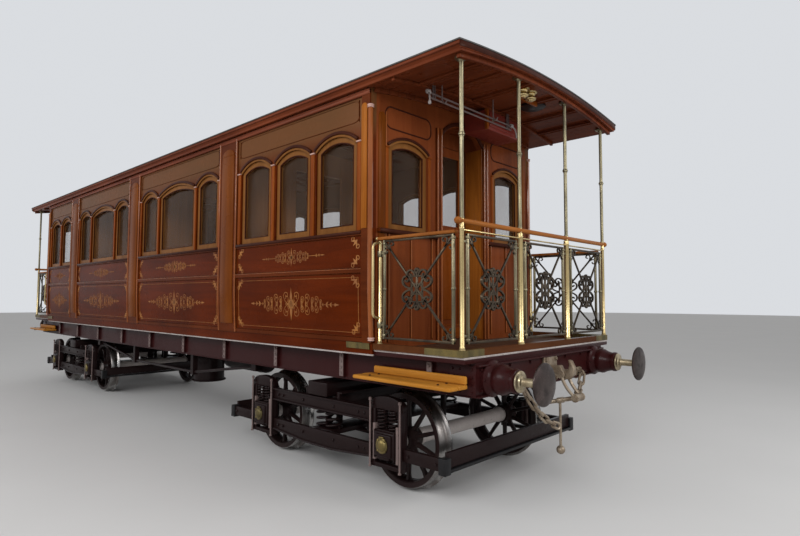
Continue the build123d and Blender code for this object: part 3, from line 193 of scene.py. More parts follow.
def turned(name, profile, steps=32, closed=False):
    """Shape turned about Z from a profile of radius and height."""
    piece = trace(name, [(radius, 0, height) for radius, height in profile], closed)
    bpy.ops.mesh.spin(steps=steps, angle=math.tau, center=(0, 0, 0), axis=(0, 0, 1))
    return outward(piece)


def ringed(name, profile, steps=32):
    """Ring turned about Z from a closed profile of radius and height."""
    return turned(name, profile, steps, True)


def stepped(radius, height, rows):
    """Rows of a profile, moved out by a radius and up by a height."""
    return [(radius + out, height + up) for out, up in rows]


def even(rows, middle=()):
    """Profile that is the same below the origin as the rows are above it."""
    return [(radius, -height) for radius, height in reversed(rows)] + [*middle, *rows]


def board(name, outline, move, edge=0.0, segments=2):
    """Flat outline pulled along a move, its edges eased."""
    piece = trace(name, outline, filled=True)
    bpy.ops.mesh.select_all(action="SELECT")
    bpy.ops.mesh.extrude_region_move(TRANSFORM_OT_translate={"value": move})
    outward(piece)
    if edge > 0:
        bevel = piece.modifiers.new("edges", "BEVEL")
        bevel.width = edge
        bevel.segments = segments
        bevel.limit_method = "ANGLE"
        bevel.angle_limit = math.radians(sharp)
        take(piece)
        bpy.ops.object.modifier_apply(modifier="edges")
    return piece


def slab(name, corner, opposite, edge=0.003, segments=2):
    """Squared piece of stock between two opposite corners, its edges eased."""
    (x0, x1), (y0, y1), (z0, z1) = (sorted(pair) for pair in zip(corner, opposite))
    outline = ((x0, y0, z0), (x1, y0, z0), (x1, y1, z0), (x0, y1, z0))
    return board(name, outline, (0, 0, z1 - z0), edge, segments)


def crown(x, y, z, half, rise, steps=14):
    """Points of half an ellipse that stands on its middle, facing along Y."""
    turns = [math.pi * i / steps for i in range(steps + 1)]
    return [(x + half * math.cos(turn), y, z + rise * math.sin(turn)) for turn in turns]


def rail(name, points, radius, bend=0.0, closed=False, sides=3, steps=6):
    """Round bar along a line, with its corners bent."""
    piece = trace(name, points, closed=closed)
    if bend > 0:
        kept = [] if closed else [Vector(points[0]), Vector(points[-1])]
        pick(piece, "verts", lambda v: all((v.co - end).length > touching for end in kept))
        bpy.ops.mesh.bevel(offset=bend, offset_type="OFFSET", segments=steps, profile=0.5, affect="VERTICES")
    take(piece)
    bpy.ops.object.convert(target="CURVE")
    piece = bpy.context.object
    piece.data.bevel_depth = radius
    piece.data.bevel_resolution = sides
    piece.data.use_fill_caps = True
    bpy.ops.object.convert(target="MESH")
    return outward(bpy.context.object)


def bead(name, points, radius, closed=False, bend=0.0):
    """Half-round strip of wood laid along a line on a face."""
    return rail(name, points, radius, bend, closed, sides=2, steps=5)


def placed(piece, move=(0, 0, 0), turn=(0, 0, 0)):
    """Turn a piece about the origin and move it, and leave its object at the origin."""
    take(piece)
    piece.rotation_euler = turn
    piece.location = move
    bpy.ops.object.transform_apply(location=True, rotation=True, scale=True)
    return piece


def copied(piece, matrix):
    """Copy of a piece with its own mesh, moved by a matrix."""
    twin = piece.copy()
    twin.data = piece.data.copy()
    bpy.context.scene.collection.objects.link(twin)
    twin.data.transform(matrix)
    if matrix.determinant() < 0:
        twin.data.flip_normals()
    return twin


def joined(pieces):
    """One piece of several."""
    rest()
    for piece in pieces:
        piece.select_set(True)
    bpy.context.view_layer.objects.active = pieces[0]
    if len(pieces) > 1:
        bpy.ops.object.join()
    rest()
    return pieces[0]


def spread(pieces, matrices):
    """Copies of joined pieces at each place, as one piece. The first goes with them."""
    piece = joined(pieces)
    copies = [copied(piece, matrix) for matrix in matrices]
    gone(piece)
    return joined(copies)


def both_ends(*pieces):
    """The pieces and their copies at the other end, turned half round."""
    return spread(pieces, [Matrix(), half_turn])


def both_sides(*pieces):
    """The pieces and their mirrored copies at the other side."""
    return spread(pieces, [Matrix(), mirror_y])


def four_corners(*pieces):
    """The pieces mirrored to the four corners."""
    return spread(pieces, [Matrix(), mirror_y, mirror_x, mirror_x @ mirror_y])


def at(x, y, z):
    """Matrix of a move."""
    return Matrix.Translation((x, y, z))


def around(count, matrix):
    """Matrices that repeat a matrix evenly about Z, from half a step on."""
    return [Matrix.Rotation(math.tau * (i + 0.5) / count, 4, "Z") @ matrix for i in range(count)]


def made(name, piece, finish, body="coach", replaces=(), smooth=sharp):
    """Name a piece, give it its finish, smooth its curves and fix it to its body."""
    piece.name = name
    take(piece)
    piece.data.materials.clear()
    piece.data.materials.append(finish.material)
    bpy.ops.object.shade_smooth_by_angle(angle=math.radians(smooth))
    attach(piece, body)
    if replaces:
        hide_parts(*replaces)
    rest()
    return piece


# Finishes


class Level:
    """Number that a finish works out over a surface."""

    def __init__(self, finish, socket):
        self.finish = finish
        self.socket = socket

    def __add__(self, other):
        return self.finish.sum("ADD", self, other)

    def __sub__(self, other):
        return self.finish.sum("SUBTRACT", self, other)

    def __rsub__(self, other):
        return self.finish.sum("SUBTRACT", other, self)

    def __mul__(self, other):
        return self.finish.sum("MULTIPLY", self, other)

    __radd__ = __add__
    __rmul__ = __mul__


class Finish:
    """Procedural finish of one material."""

    def __init__(self, name, slot):
        self.slot = slot
        self.material = bpy.data.materials.new(name)
        self.material.use_nodes = True
        self.tree = self.material.node_tree
        self.tree.nodes.clear()
        self.place = self.node("ShaderNodeTexCoord", {}, {}).outputs["Object"]

    def node(self, kind, settings, values):
        """Node of any kind, its settings first and then its values and links."""
        node = self.tree.nodes.new(kind)
        for key, setting in settings.items():
            setattr(node, key, setting)
        for key, value in values.items():
            if isinstance(value, Level):
                value = value.socket
            if isinstance(value, bpy.types.NodeSocket):
                self.tree.links.new(value, node.inputs[key])
            else:
                node.inputs[key].default_value = value
        return node

    def sum(self, operation, first, second=0):
        """Level that a Math node works out."""
        return Level(self, self.node("ShaderNodeMath", {"operation": operation}, {0: first, 1: second}).outputs[0])

    def between(self, level, low, high):
        """Level that climbs from 0 at low to 1 at high."""
        values = {"Value": level, "From Min": low, "From Max": high}
        return Level(self, self.node("ShaderNodeMapRange", {"clamp": True}, values).outputs[0])

    def stretched(self, scale):
        """Object coordinates scaled by axis."""
        return self.node("ShaderNodeMapping", {}, {"Vector": self.place, "Scale": scale}).outputs[0]

    def noise(self, scale, detail=3.0, warp=0.0, stretch=(1, 1, 1), rough=0.5):
        """Cloudy level between 0 and 1."""
        values = {
            "Vector": self.stretched(stretch), "Scale": scale, "Detail": detail,
            "Roughness": rough, "Distortion": warp,
        }
        return Level(self, self.node("ShaderNodeTexNoise", {}, values).outputs[0])

    def part(self, axis):
        """One of the object coordinates."""
        split = self.node("ShaderNodeSeparateXYZ", {}, {0: self.place})
        return Level(self, split.outputs["XYZ".index(axis)])

    def grooves(self, axis, pitch, width):
        """Level that is 1 in the joints between boards and 0 on them."""
        share = self.sum("FRACT", self.part(axis) * (1 / pitch))
        return self.between(self.sum("ABSOLUTE", share - 0.5), 0.5 - width / pitch, 0.5)

    def mix(self, factor, first, second):
        """Colour between two colours."""
        first, second = ((*c, 1) if isinstance(c, tuple) else c for c in (first, second))
        # The node's inputs 6 and 7 and its output 2 are the ones for colours.
        values = {0: factor, 6: first, 7: second}
        return self.node("ShaderNodeMix", {"data_type": "RGBA", "blend_type": "MIX"}, values).outputs[2]

    def bump(self, height, distance, strength=1.0):
        """Normal of a surface with that relief."""
        values = {"Height": height, "Distance": distance, "Strength": strength}
        return self.node("ShaderNodeBump", {}, values).outputs[0]

    def surface(self, values):
        """Close the finish with its shader."""
        shader = self.node("ShaderNodeBsdfPrincipled", {}, values)
        self.node("ShaderNodeOutputMaterial", {}, {0: shader.outputs[0]})
        return self


def shade(colour, share, more=0.0):
    """Share of a colour, and a little more of each of its parts."""
    return tuple(c * share + more for c in colour)


def varnished(name, slot, deep, bright, grain="Z", gloss=0.2, coat=0.04, joints=None, eaves=None):
    """Varnished wood by its grain's axis, with joints between boards by axis and pitch, and a tone at the eaves."""
    finish = Finish(name, slot)
    along, fine_along = (tuple(share if axis == grain else 1.0 for axis in "XYZ") for share in (0.07, 0.025))
    figure = finish.noise(7.0, 5.0, 1.2, along, 0.6)
    cloud = finish.noise(1.1, 2.0)
    pores = finish.noise(210.0, 3.0, 0.0, fine_along, 0.7)
    tone = finish.between(figure * 0.62 + cloud * 0.5 + pores * 0.18, 0.42, 0.86)
    colour = finish.mix(tone, deep, bright)
    colour = finish.mix(finish.between(pores, 0.56, 0.72) * 0.45, colour, shade(deep, 0.35))
    if eaves:
        colour = finish.mix(finish.between(finish.part("Z"), 2.93, 3.12) * 0.5, colour, eaves)
    haze = finish.noise(3.5, 4.0)
    height = pores * 0.6 + figure * 0.4
    if joints:
        groove = finish.grooves(*joints, 0.004)
        colour = finish.mix(groove * 0.85, colour, shade(deep, 0.2))
        height = height - groove * 3.0
    return finish.surface({
        "Base Color": colour, "Roughness": haze * 0.16 + gloss, "Normal": finish.bump(height, 0.0006, 0.35),
        "Coat Weight": coat, "Coat Roughness": 0.09, "Coat IOR": 1.35,
        "Specular IOR Level": 0.03, "Specular Tint": (1.0, 0.55, 0.3, 1),
    })


def painted(name, slot, colour, dust, gloss=0.28, dusty=0.3, coat=0.05):
    """Brushed paint with dust in it and chips down to a darker coat."""
    finish = Finish(name, slot)
    cloud = finish.noise(3.0, 4.0)
    speck = finish.noise(38.0, 4.0)
    grime = finish.between(cloud * 0.6 + speck * 0.4, 0.45, 0.7)
    tint = finish.mix(grime * dusty, colour, dust)
    chips = finish.between(finish.noise(26.0, 6.0, 0.4), 0.67, 0.70)
    tint = finish.mix(chips * 0.6, tint, shade(colour, 0.3, 0.004))
    brush = finish.noise(70.0, 2.0, 0.0, (0.15, 1, 1))
    return finish.surface({
        "Base Color": tint, "Roughness": grime * 0.3 + gloss, "Coat Weight": coat, "Coat Roughness": 0.15,
        "Normal": finish.bump(speck * 0.5 + brush * 0.5 - chips * 0.6, 0.0008, 0.5), "Specular IOR Level": 0.08,
    })


def metalled(name, slot, bright, tarnish, low, high, shine, spots, stretch=(1, 1, 0.25)):
    """Bare metal, rubbed bright and smooth in places, tarnished and rough in others."""
    finish = Finish(name, slot)
    cloud = finish.noise(9.0, 5.0, 0.5, stretch)
    fine = finish.noise(120.0, 3.0)
    wear = finish.between(cloud * 0.8 + fine * 0.2, 0.40, 0.62)
    colour = finish.mix(wear, bright, tarnish)
    pits = finish.between(finish.noise(60.0, 4.0), 0.6, 0.7) * spots
    return finish.surface({
        "Base Color": finish.mix(pits, colour, shade(tarnish, 0.4)), "Metallic": shine - pits * 0.5,
        "Roughness": wear * (high - low) + low, "Normal": finish.bump(fine - pits * 0.5, 0.0004, 0.4),
    })


def glazing(name, slot):
    """Old window glass with a faint film."""
    finish = Finish(name, slot)
    film = finish.noise(5.0, 3.0, 0.6, (1, 1, 0.4))
    return finish.surface({
        "Base Color": finish.mix(film, (0.060, 0.032, 0.018), (0.150, 0.096, 0.062)),
        "Alpha": film * 0.10 + 0.14, "Roughness": film * 0.03 + 0.015, "Specular IOR Level": 0.25,
        "Coat Weight": 0.1, "Coat Roughness": 0.01, "Normal": finish.bump(film, 0.002, 0.04),
    })


def leathered(name, slot, colour, worn):
    """Buttoned leather, rubbed at its high places."""
    finish = Finish(name, slot)
    values = {"Vector": finish.stretched((1, 1, 1)), "Scale": 260.0}
    grain = Level(finish, finish.node("ShaderNodeTexVoronoi", {"feature": "F1"}, values).outputs[0])
    cloud = finish.noise(4.0, 4.0)
    return finish.surface({
        "Base Color": finish.mix(finish.between(cloud, 0.4, 0.65), colour, worn), "Coat Weight": 0.15,
        "Roughness": cloud * 0.2 + 0.38, "Normal": finish.bump(grain, 0.0006, 0.5),
    })


def canvas(name, slot, colour, soot):
    """Tarred roof canvas with a weave and old dust."""
    finish = Finish(name, slot)
    weave = finish.noise(420.0, 2.0, 0.0, (1, 0.2, 1)) * 0.5 + finish.noise(420.0, 2.0, 0.0, (0.2, 1, 1)) * 0.5
    cloud = finish.noise(1.6, 5.0)
    return finish.surface({
        "Base Color": finish.mix(finish.between(cloud, 0.35, 0.7), colour, soot),
        "Roughness": cloud * 0.15 + 0.72, "Normal": finish.bump(weave + cloud * 0.4, 0.0015, 0.5),
    })


mahogany = varnished(
    "mahogany", "mahogany", (0.036, 0.0046, 0.0004), (0.110, 0.016, 0.0014), "X", eaves=(0.165, 0.088, 0.036)
)
end_mahogany = varnished("end_mahogany", "mahogany", (0.090, 0.019, 0.006), (0.215, 0.054, 0.016))
upright_wood = varnished("upright_wood", "dark_mahogany", (0.070, 0.014, 0.0016), (0.190, 0.052, 0.007))
corner_wood = varnished("corner_wood", "orange_wood", (0.150, 0.042, 0.006), (0.340, 0.110, 0.016))
moulding_wood = varnished("moulding_wood", "dark_mahogany", (0.045, 0.008, 0.0018), (0.115, 0.024, 0.005), "X")
head_wood = varnished("head_wood", "dark_mahogany", (0.022, 0.006, 0.004), (0.055, 0.015, 0.008), "X")
mullion_wood = varnished("mullion_wood", "orange_wood", (0.120, 0.024, 0.004), (0.260, 0.066, 0.010))
sash_wood = varnished("sash_wood", "sash_wood", (0.110, 0.040, 0.009), (0.230, 0.096, 0.027))
strip_wood = varnished("strip_wood", "orange_wood", (0.050, 0.016, 0.006), (0.110, 0.038, 0.013), "Y")
rail_wood = varnished("rail_wood", "orange_wood", (0.190, 0.060, 0.014), (0.360, 0.130, 0.032), "Y")
step_wood = varnished("step_wood", "yellow_wood", (0.280, 0.104, 0.013), (0.510, 0.220, 0.034), "X", 0.35, 0.1)
ceiling_wood = varnished(
    "ceiling_wood", "dark_mahogany", (0.070, 0.015, 0.007), (0.170, 0.040, 0.014), "X", joints=("Y", 0.105)
)
cornice_wood = varnished("cornice_wood", "dark_mahogany", (0.085, 0.021, 0.011), (0.200, 0.056, 0.028), "X")
floor_wood = varnished(
    "floor_wood", "floor_boards", (0.045, 0.022, 0.014), (0.110, 0.060, 0.036), "X", 0.5, 0.05, ("Y", 0.118)
)
inner_wood = varnished("inner_wood", "mahogany", (0.280, 0.105, 0.035), (0.500, 0.210, 0.070), "Z", 0.3, 0.2)
# Glossy wood for beads and corner columns. Its high coat gives real gloss, and its light colour is partly a painted
# highlight.
polished_wood_painted_highlight = varnished(
    "polished_wood_painted_highlight", "dark_mahogany", (0.125, 0.032, 0.007), (0.320, 0.100, 0.030), "Z", 0.12, 0.9
)
maroon = painted("maroon", "maroon_steel", (0.028, 0.005, 0.005), (0.036, 0.017, 0.016))
bogie_paint = painted("bogie_paint", "black_iron", (0.010, 0.004, 0.004), (0.020, 0.012, 0.011), 0.36, 0.4, 0.1)
wheel_paint = painted("wheel_paint", "wheel_steel", (0.016, 0.008, 0.008), (0.040, 0.026, 0.022), 0.34, 0.4, 0.15)
axle_paint = painted("axle_paint", "wheel_steel", (0.520, 0.470, 0.450), (0.340, 0.290, 0.260), 0.45, 0.5)
guide_paint = painted("guide_paint", "wheel_steel", (0.170, 0.125, 0.118), (0.080, 0.055, 0.050), 0.5, 0.5)
edge_black = painted("edge_black", "black_iron", (0.010, 0.010, 0.011), (0.030, 0.026, 0.026), 0.32, 0.3, 0.15)
white_paint = painted("white_paint", "maroon_steel", (0.420, 0.385, 0.370), (0.200, 0.150, 0.135), 0.5, 0.7, 0.0)
# The caps' pale pink is a painted highlight: it stands for the shine on small varnished caps.
painted_cap_highlight = painted("painted_cap_highlight", "sash_wood", (0.520, 0.330, 0.280), (0.300, 0.180, 0.140), 0.35, 0.5, 0.1)
red_paint = painted("red_paint", "mahogany", (0.200, 0.030, 0.020), (0.100, 0.030, 0.020), 0.35, 0.4, 0.3)
gold_paint = metalled("gold_paint", "old_brass", (0.310, 0.110, 0.008), (0.200, 0.060, 0.004), 0.45, 0.6, 0.1, 0.2)
old_brass = metalled("old_brass", "old_brass", (0.680, 0.530, 0.260), (0.350, 0.265, 0.125), 0.24, 0.44, 0.95, 0.35)
worn_brass = metalled("worn_brass", "old_brass", (0.250, 0.215, 0.130), (0.110, 0.095, 0.062), 0.30, 0.50, 0.9, 0.45)
plate_brass = metalled("plate_brass", "old_brass", (0.190, 0.140, 0.048), (0.085, 0.068, 0.028), 0.32, 0.55, 0.8, 0.5)
tread_steel = metalled("tread_steel", "wheel_steel", (0.330, 0.320, 0.310), (0.150, 0.130, 0.120), 0.22, 0.4, 1.0, 0.3)
bronze, ring_metal, bare_iron, buffer_steel = (metalled(*row, (1, 1, 1)) for row in (
    ("bronze", "bronze", (0.078, 0.056, 0.034), (0.030, 0.021, 0.014), 0.32, 0.52, 0.8, 0.5),
    ("ring_metal", "rusty_iron", (0.420, 0.350, 0.230), (0.210, 0.160, 0.095), 0.3, 0.5, 0.8, 0.4),
    ("bare_iron", "rusty_iron", (0.300, 0.240, 0.175), (0.150, 0.105, 0.068), 0.38, 0.62, 0.6, 0.7),
    ("buffer_steel", "black_iron", (0.070, 0.050, 0.045), (0.026, 0.018, 0.016), 0.26, 0.5, 0.8, 0.4),
))
glass = glazing("glass", "glass")
bench_leather = leathered("bench_leather", "bench_leather", (0.090, 0.020, 0.014), (0.170, 0.060, 0.035))
roof_canvas = canvas("roof_canvas", "roof_canvas", (0.070, 0.064, 0.060), (0.040, 0.037, 0.035))

# Finish of each CAD node, by the start of its name.
node_finishes = (
    ("underframe", maroon), ("truss_rods", bogie_paint), ("brake_gear", bogie_paint), ("floor", floor_wood),
    ("platform_edging", strip_wood), ("edging_corner_plates", plate_brass), ("steps", step_wood),
    ("side_wall", mahogany), ("body_mouldings", moulding_wood), ("window_sashes", sash_wood),
    ("window_glass", glass), ("end_wall", end_mahogany), ("roof_boards", ceiling_wood), ("roof_cover", roof_canvas),
    ("partitions", inner_wood), ("benches", bench_leather), ("poles", old_brass), ("end_handrails", rail_wood),
    ("end_panels", bronze), ("buffer_housings", maroon), ("buffer_heads", buffer_steel), ("couplings", bare_iron),
    ("side_chains", bare_iron), ("platform_fittings", end_mahogany), ("door_glass", glass), ("door", end_mahogany),
    ("bogie_frame", bogie_paint), ("axleboxes", bogie_paint), ("wheelset", wheel_paint), ("side_gate", bronze),
    ("gate_rail", rail_wood),
)
for node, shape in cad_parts.items():
    look = next(finish for start, finish in node_finishes if node.startswith(start))
    for row in shape.material_slots:
        row.material = look.material


# Camera, lamps and floor


def camera():
    """Camera at the photograph's place, 4 m from the near corner."""
    lens = bpy.data.cameras.new("camera")
    lens.lens = 24.946
    lens.sensor_width = 36.0
    lens.sensor_fit = "HORIZONTAL"
    lens.shift_x = -0.00168
    lens.shift_y = -0.0042
    lens.clip_end = 200.0
    eye = bpy.data.objects.new("camera", lens)
    bpy.context.scene.collection.objects.link(eye)
    yaw, pitch, roll = (math.radians(angle) for angle in (133.3293, 3.3868, 0.1695))
    ahead = Vector((math.cos(yaw) * math.cos(pitch), math.sin(yaw) * math.cos(pitch), math.sin(pitch)))
    right = Vector((math.sin(yaw), -math.cos(yaw), 0))
    top = right.cross(ahead)
    level_right = right * math.cos(roll) + top * math.sin(roll)
    level_top = top * math.cos(roll) - right * math.sin(roll)
    turn = Matrix((level_right, level_top, -ahead)).transposed()
    eye.matrix_world = at(7.7519, -4.3246, 1.6385) @ turn.to_4x4()
    bpy.context.scene.camera = eye


def lamp(name, place, target, size, power):
    """Soft lamp that faces a point."""
    light = bpy.data.lights.new(name, "AREA")
    light.shape = "RECTANGLE"
    light.size, light.size_y = size
    light.energy = power
    holder = bpy.data.objects.new(name, light)
    bpy.context.scene.collection.objects.link(holder)
    holder.rotation_euler = (Vector(target) - Vector(place)).to_track_quat("-Z", "Y").to_euler()
    holder.location = place


def surroundings():
    """Pale floor, and a world that lights evenly and looks pale where it is seen or mirrored."""
    rest()
    below = (0, 0, cad_box[0][2] - 0.002)
    bpy.ops.mesh.primitive_circle_add(vertices=64, radius=60, fill_type="NGON", location=below)
    floor = bpy.context.object
    floor.name = "studio_floor"
    ground = Finish("studio_floor", None)
    cloud = ground.noise(0.6, 4.0)
    tone = ground.mix(cloud, (0.60, 0.60, 0.60), (0.66, 0.66, 0.66))
    ground.surface({"Base Color": tone, "Roughness": cloud * 0.2 + 0.7})
    floor.data.materials.append(ground.material)
    world = bpy.data.worlds.new("studio")
    bpy.context.scene.world = world
    world.use_nodes = True
    nodes, links = world.node_tree.nodes, world.node_tree.links
    nodes.clear()
    seen = nodes.new("ShaderNodeLightPath").outputs
    total = seen["Is Camera Ray"]
    for ray in ("Is Glossy Ray", "Is Transmission Ray"):
        most = nodes.new("ShaderNodeMath")
        most.operation = "MAXIMUM"
        links.new(total, most.inputs[0])
        links.new(seen[ray], most.inputs[1])
        total = most.outputs[0]
    both = nodes.new("ShaderNodeMixShader")
    links.new(total, both.inputs[0])
    for slot, colour, power in ((1, (1.0, 0.985, 0.97, 1), 0.46), (2, (0.70, 0.72, 0.75, 1), 1.0)):
        sky = nodes.new("ShaderNodeBackground")
        sky.inputs[0].default_value = colour
        sky.inputs[1].default_value = power
        links.new(sky.outputs[0], both.inputs[slot])
    links.new(both.outputs[0], nodes.new("ShaderNodeOutputWorld").inputs[0])
    bpy.context.scene.view_settings.view_transform = "Standard"
    lamp("key_lamp", (9.0, -9.5, 6.5), (2.0, 0, 1.6), (6, 4), 620)
    lamp("side_lamp", (-2.0, -11.0, 6.0), (-1.5, 0, 1.8), (8, 4), 400)
    lamp("end_lamp", (13.0, 2.5, 5.0), (4.5, 0, 1.8), (4, 4), 340)


camera()
surroundings()


# Wheels


def spoke():
    """Tapered spoke, from the hub out along X."""
    rest()
    bpy.ops.mesh.primitive_cylinder_add(vertices=14, radius=1, depth=0.262, location=(0, 0, 0))
    piece = bpy.context.object
    edit(piece)
    bpy.ops.mesh.select_mode(type="VERT")
    bpy.ops.mesh.select_all(action="SELECT")
    bpy.ops.transform.resize(value=(0.017, 0.021, 1))
    pick(piece, "verts", lambda v: v.co.z < 0)
    bpy.ops.transform.resize(value=(1.2, 1.55, 1))
    pick(piece, "edges", lambda e: abs(e.verts[0].co.z - e.verts[1].co.z) > 0.1)
    bpy.ops.mesh.subdivide(number_cuts=4)
    pick(piece, "verts", lambda v: v.co.z > 0.12)
    bpy.ops.transform.resize(value=(1.2, 1.7, 1))
    rest()
    return placed(piece, (0.216, 0, 0), lay_x)


def wheelset():
    """Two spoked wheels on their axle, the axle along Z through the origin."""
    back = 0.680
    mid = back + 0.0675
    tyre = (
        (0.352, 0), (0.404, 0), (0.421, 0.003), (0.4275, 0.010), (0.4275, 0.015), (0.421, 0.022), (0.408, 0.030),
        (0.4015, 0.040), (0.4, 0.06), (0.3975, 0.127), (0.392, 0.1345), (0.352, 0.1345), (0.3495, 0.130),
        (0.346, 0.130), (0.344, 0.118), (0.340, 0.104), (0.338, 0.090), (0.338, 0.045), (0.340, 0.030),
        (0.344, 0.016), (0.350, 0.004),
    )
    hub = (
        (0.067, -0.085), (0.088, -0.085), (0.092, -0.078), (0.092, -0.045), (0.104, -0.03), (0.108, -0.018),
        (0.108, 0.018), (0.104, 0.03), (0.092, 0.045), (0.092, 0.076), (0.086, 0.085), (0.076, 0.085),
        (0.074, 0.080), (0.067, 0.080),
    )
    arms = around(10, at(0, 0, mid) @ Matrix.Rotation(math.pi / 2, 4, "X"))
    wheel = joined([
        ringed("tyre", stepped(0, back, tyre), 96), ringed("hub", stepped(0, mid, hub), 40), spread([spoke()], arms)
    ])
    other = copied(wheel, Matrix.Scale(-1, 4, (0, 0, 1)))
    shaft = turned("shaft", even((
        (0.066, 0.585), (0.074, 0.60), (0.074, 0.645), (0.066, 0.655), (0.066, 0.84), (0.062, 0.86), (0.052, 0.88),
        (0.052, 1.054), (0.046, 1.06), (0, 1.06),
    ), [(0.063, 0)]), 36)
    return joined([wheel, other]), shaft


def wheelsets():
    """The four wheelsets at their axles, with bright treads and outer rims."""
    wheels, shaft = wheelset()
    tread, rim, rim_out = 0.396, 0.3895, 0.79
    for end, way in ends:
        for which, offset in (("outer", half_wheelbase), ("inner", -half_wheelbase)):
            node = f"wheelset_{end}_{which}"
            centre = Vector((way * (bogie_x + offset), 0, axle_height))
            place = at(*centre) @ Matrix.Rotation(-math.pi / 2, 4, "X")
            pair = made(f"wheels_{end}_{which}", copied(wheels, place), wheel_paint, node, (node,), 40)
            pair.data.materials.append(tread_steel.material)
            for face in pair.data.polygons:
                spot = face.center - centre
                out = math.hypot(spot.x, spot.z)
                if out > tread or out > rim and abs(spot.y) > rim_out:
                    face.material_index = 1
            made(f"axle_{end}_{which}", copied(shaft, place), axle_paint, node, (node,), 40)
    gone(wheels, shaft)


wheelsets()


# Springs and axleboxes


def coil(name, radius, wire, low, high):
    """Coil spring of six turns about Z, with its ends laid flat."""
    turns, steps = 6, 120
    points = []
    for i in range(steps + 1):
        share = i / steps
        climb = min(max((share - 0.08) / 0.84, 0), 1)
        angle = share * turns * math.tau
        height = low + wire + (high - low - 2 * wire) * climb
        points.append((radius * math.cos(angle), radius * math.sin(angle), height))
    return rail(name, points, wire, sides=2)


def bogie_springs():
    """Coils over the axleboxes and under the bolsters."""
    small = coil("box_coil", 0.040, 0.0080, 0.546, 0.707)
    large = coil("bolster_coil", 0.072, 0.0125, 0.405, 0.715)
    for end, way in ends:
        centre = at(way * bogie_x, 0, 0)
        boxes = [centre @ at(x, y, 0) for x in (-half_wheelbase, half_wheelbase) for y in (-1.0, 1.0)]
        pairs = [box @ at(x, 0, 0) for box in boxes for x in (-0.066, 0.066)]
        springs = joined([copied(small, place) for place in pairs])
        made(f"axlebox_springs_{end}", springs, bogie_paint, f"bogie_{end}", smooth=60)
        pairs = [centre @ at(x, y, 0) for x in (-0.068, 0.068) for y in (-0.88, 0.88)]
        springs = joined([copied(large, place) for place in pairs])
        made(f"bolster_springs_{end}", springs, bogie_paint, f"bogie_{end}", smooth=60)
    gone(small, large)


bogie_springs()


# Platform ironwork


def scroll(name, start, heading, arcs, thick=0.006, deep=0.012):
    """Flat bar bent through arcs in X and Z, each a radius and an angle, positive to the left."""
    x, z = start
    ahead = Vector((math.cos(heading), 0, math.sin(heading)))
    side = Vector((-ahead.z, 0, ahead.x)) * (thick / 2)
    width = Vector((0, deep / 2, 0))
    centre = Vector((x, 0, z))
    corners = (side + width, side - width, -side - width, -side + width)
    piece = trace(name, [tuple(centre + corner) for corner in corners], closed=True)
    for radius, angle in arcs:
        left = Vector((-ahead.z, 0, ahead.x))
        pivot = centre + left * radius * (1 if angle > 0 else -1)
        steps = max(3, int(abs(angle) / 18))
        bpy.ops.mesh.spin(steps=steps, angle=math.radians(angle), center=tuple(pivot), axis=(0, 1, 0))
        turn = Matrix.Rotation(math.radians(-angle), 3, "Y")
        centre = pivot + turn @ (centre - pivot)
        ahead = turn @ ahead
    bpy.ops.mesh.select_all(action="SELECT")
    bpy.ops.mesh.fill_holes(sides=4)
    return outward(piece)


def rosette():
    """Rosette of scrolls about an upright plaque, in X and Z about the origin."""
    plaque = ((-0.044, 0, 0.082), (0.044, 0, 0.082), (0.044, 0, -0.082), (-0.044, 0, -0.082))
    parts = [
        rail("plaque", plaque, 0.008, closed=True),
        slab("plaque_bar", (-0.006, -0.007, -0.080), (0.006, 0.007, 0.080), 0.002),
    ]
    for up in (1, -1):
        for side in (1, -1):
            curl = up * side
            parts.append(scroll("side_curl", (side * 0.046, up * 0.004), math.radians(90 - 90 * side), [
                (0.095, curl * 42), (0.032, curl * 150), (0.018, curl * 150), (0.010, curl * 120)
            ], 0.011, 0.016))
            parts.append(scroll("crown_curl", (side * 0.012, up * 0.080), math.radians(90 * up - 12 * curl), [
                (0.065, -curl * 38), (0.029, -curl * 150), (0.016, -curl * 150), (0.009, -curl * 100)
            ], 0.011, 0.016))
            parts.append(scroll("inner_curl", (side * 0.040, up * 0.012), math.radians(90 * up), [
                (0.022, curl * 150), (0.011, curl * 150)
            ], 0.007, 0.012))
        boss = ringed("boss", even(((0.021, 0.005), (0.018, 0.009), (0.007, 0.009))), 20)
        parts.append(placed(boss, (0, 0, up * 0.118), lay_back))
        parts.append(slab("boss_stem", (-0.006, -0.007, up * 0.078), (0.006, 0.007, up * 0.100), 0.002))
    flower = joined(parts)
    flower.data.transform(Matrix.Diagonal((1.22, 1.15, 1.18, 1)))
    return flower


def panel_ironwork(half, low, high):
    """Balustrade panel in X and Z about x = 0: frame bars, crossed bars, corner scrolls and rosette."""
    mid = (low + high) / 2
    bars = [slab("bar", (-half, -0.011, z - 0.009), (half, 0.011, z + 0.009)) for z in (low + 0.010, high - 0.010)]
    inner = half - 0.020
    rise = (high - low) / 2 - 0.020
    reach = math.hypot(inner, rise)
    angle = math.atan2(rise, inner)
    for sign in (-1, 1):
        bar = slab("cross", (-reach, -0.007, -0.0075), (reach, 0.007, 0.0075), 0.002)
        bars.append(placed(bar, (0, 0, mid), (0, sign * angle, 0)))
    for side in (-1, 1):
        for up in (-1, 1):
            back = math.atan2(-up * math.sin(angle), -side * math.cos(angle))
            x = side * inner - side * 0.100 * math.cos(angle)
            z = mid + up * rise - up * 0.100 * math.sin(angle)
            for turn in (1, -1):
                arcs = [(0.090, turn * 36), (0.023, turn * 160), (0.013, turn * 150)]
                bars.append(scroll("corner_scroll", (x, z), back + math.pi, arcs, 0.009, 0.014))
    return joined(bars + [placed(rosette(), (0, 0, mid))])


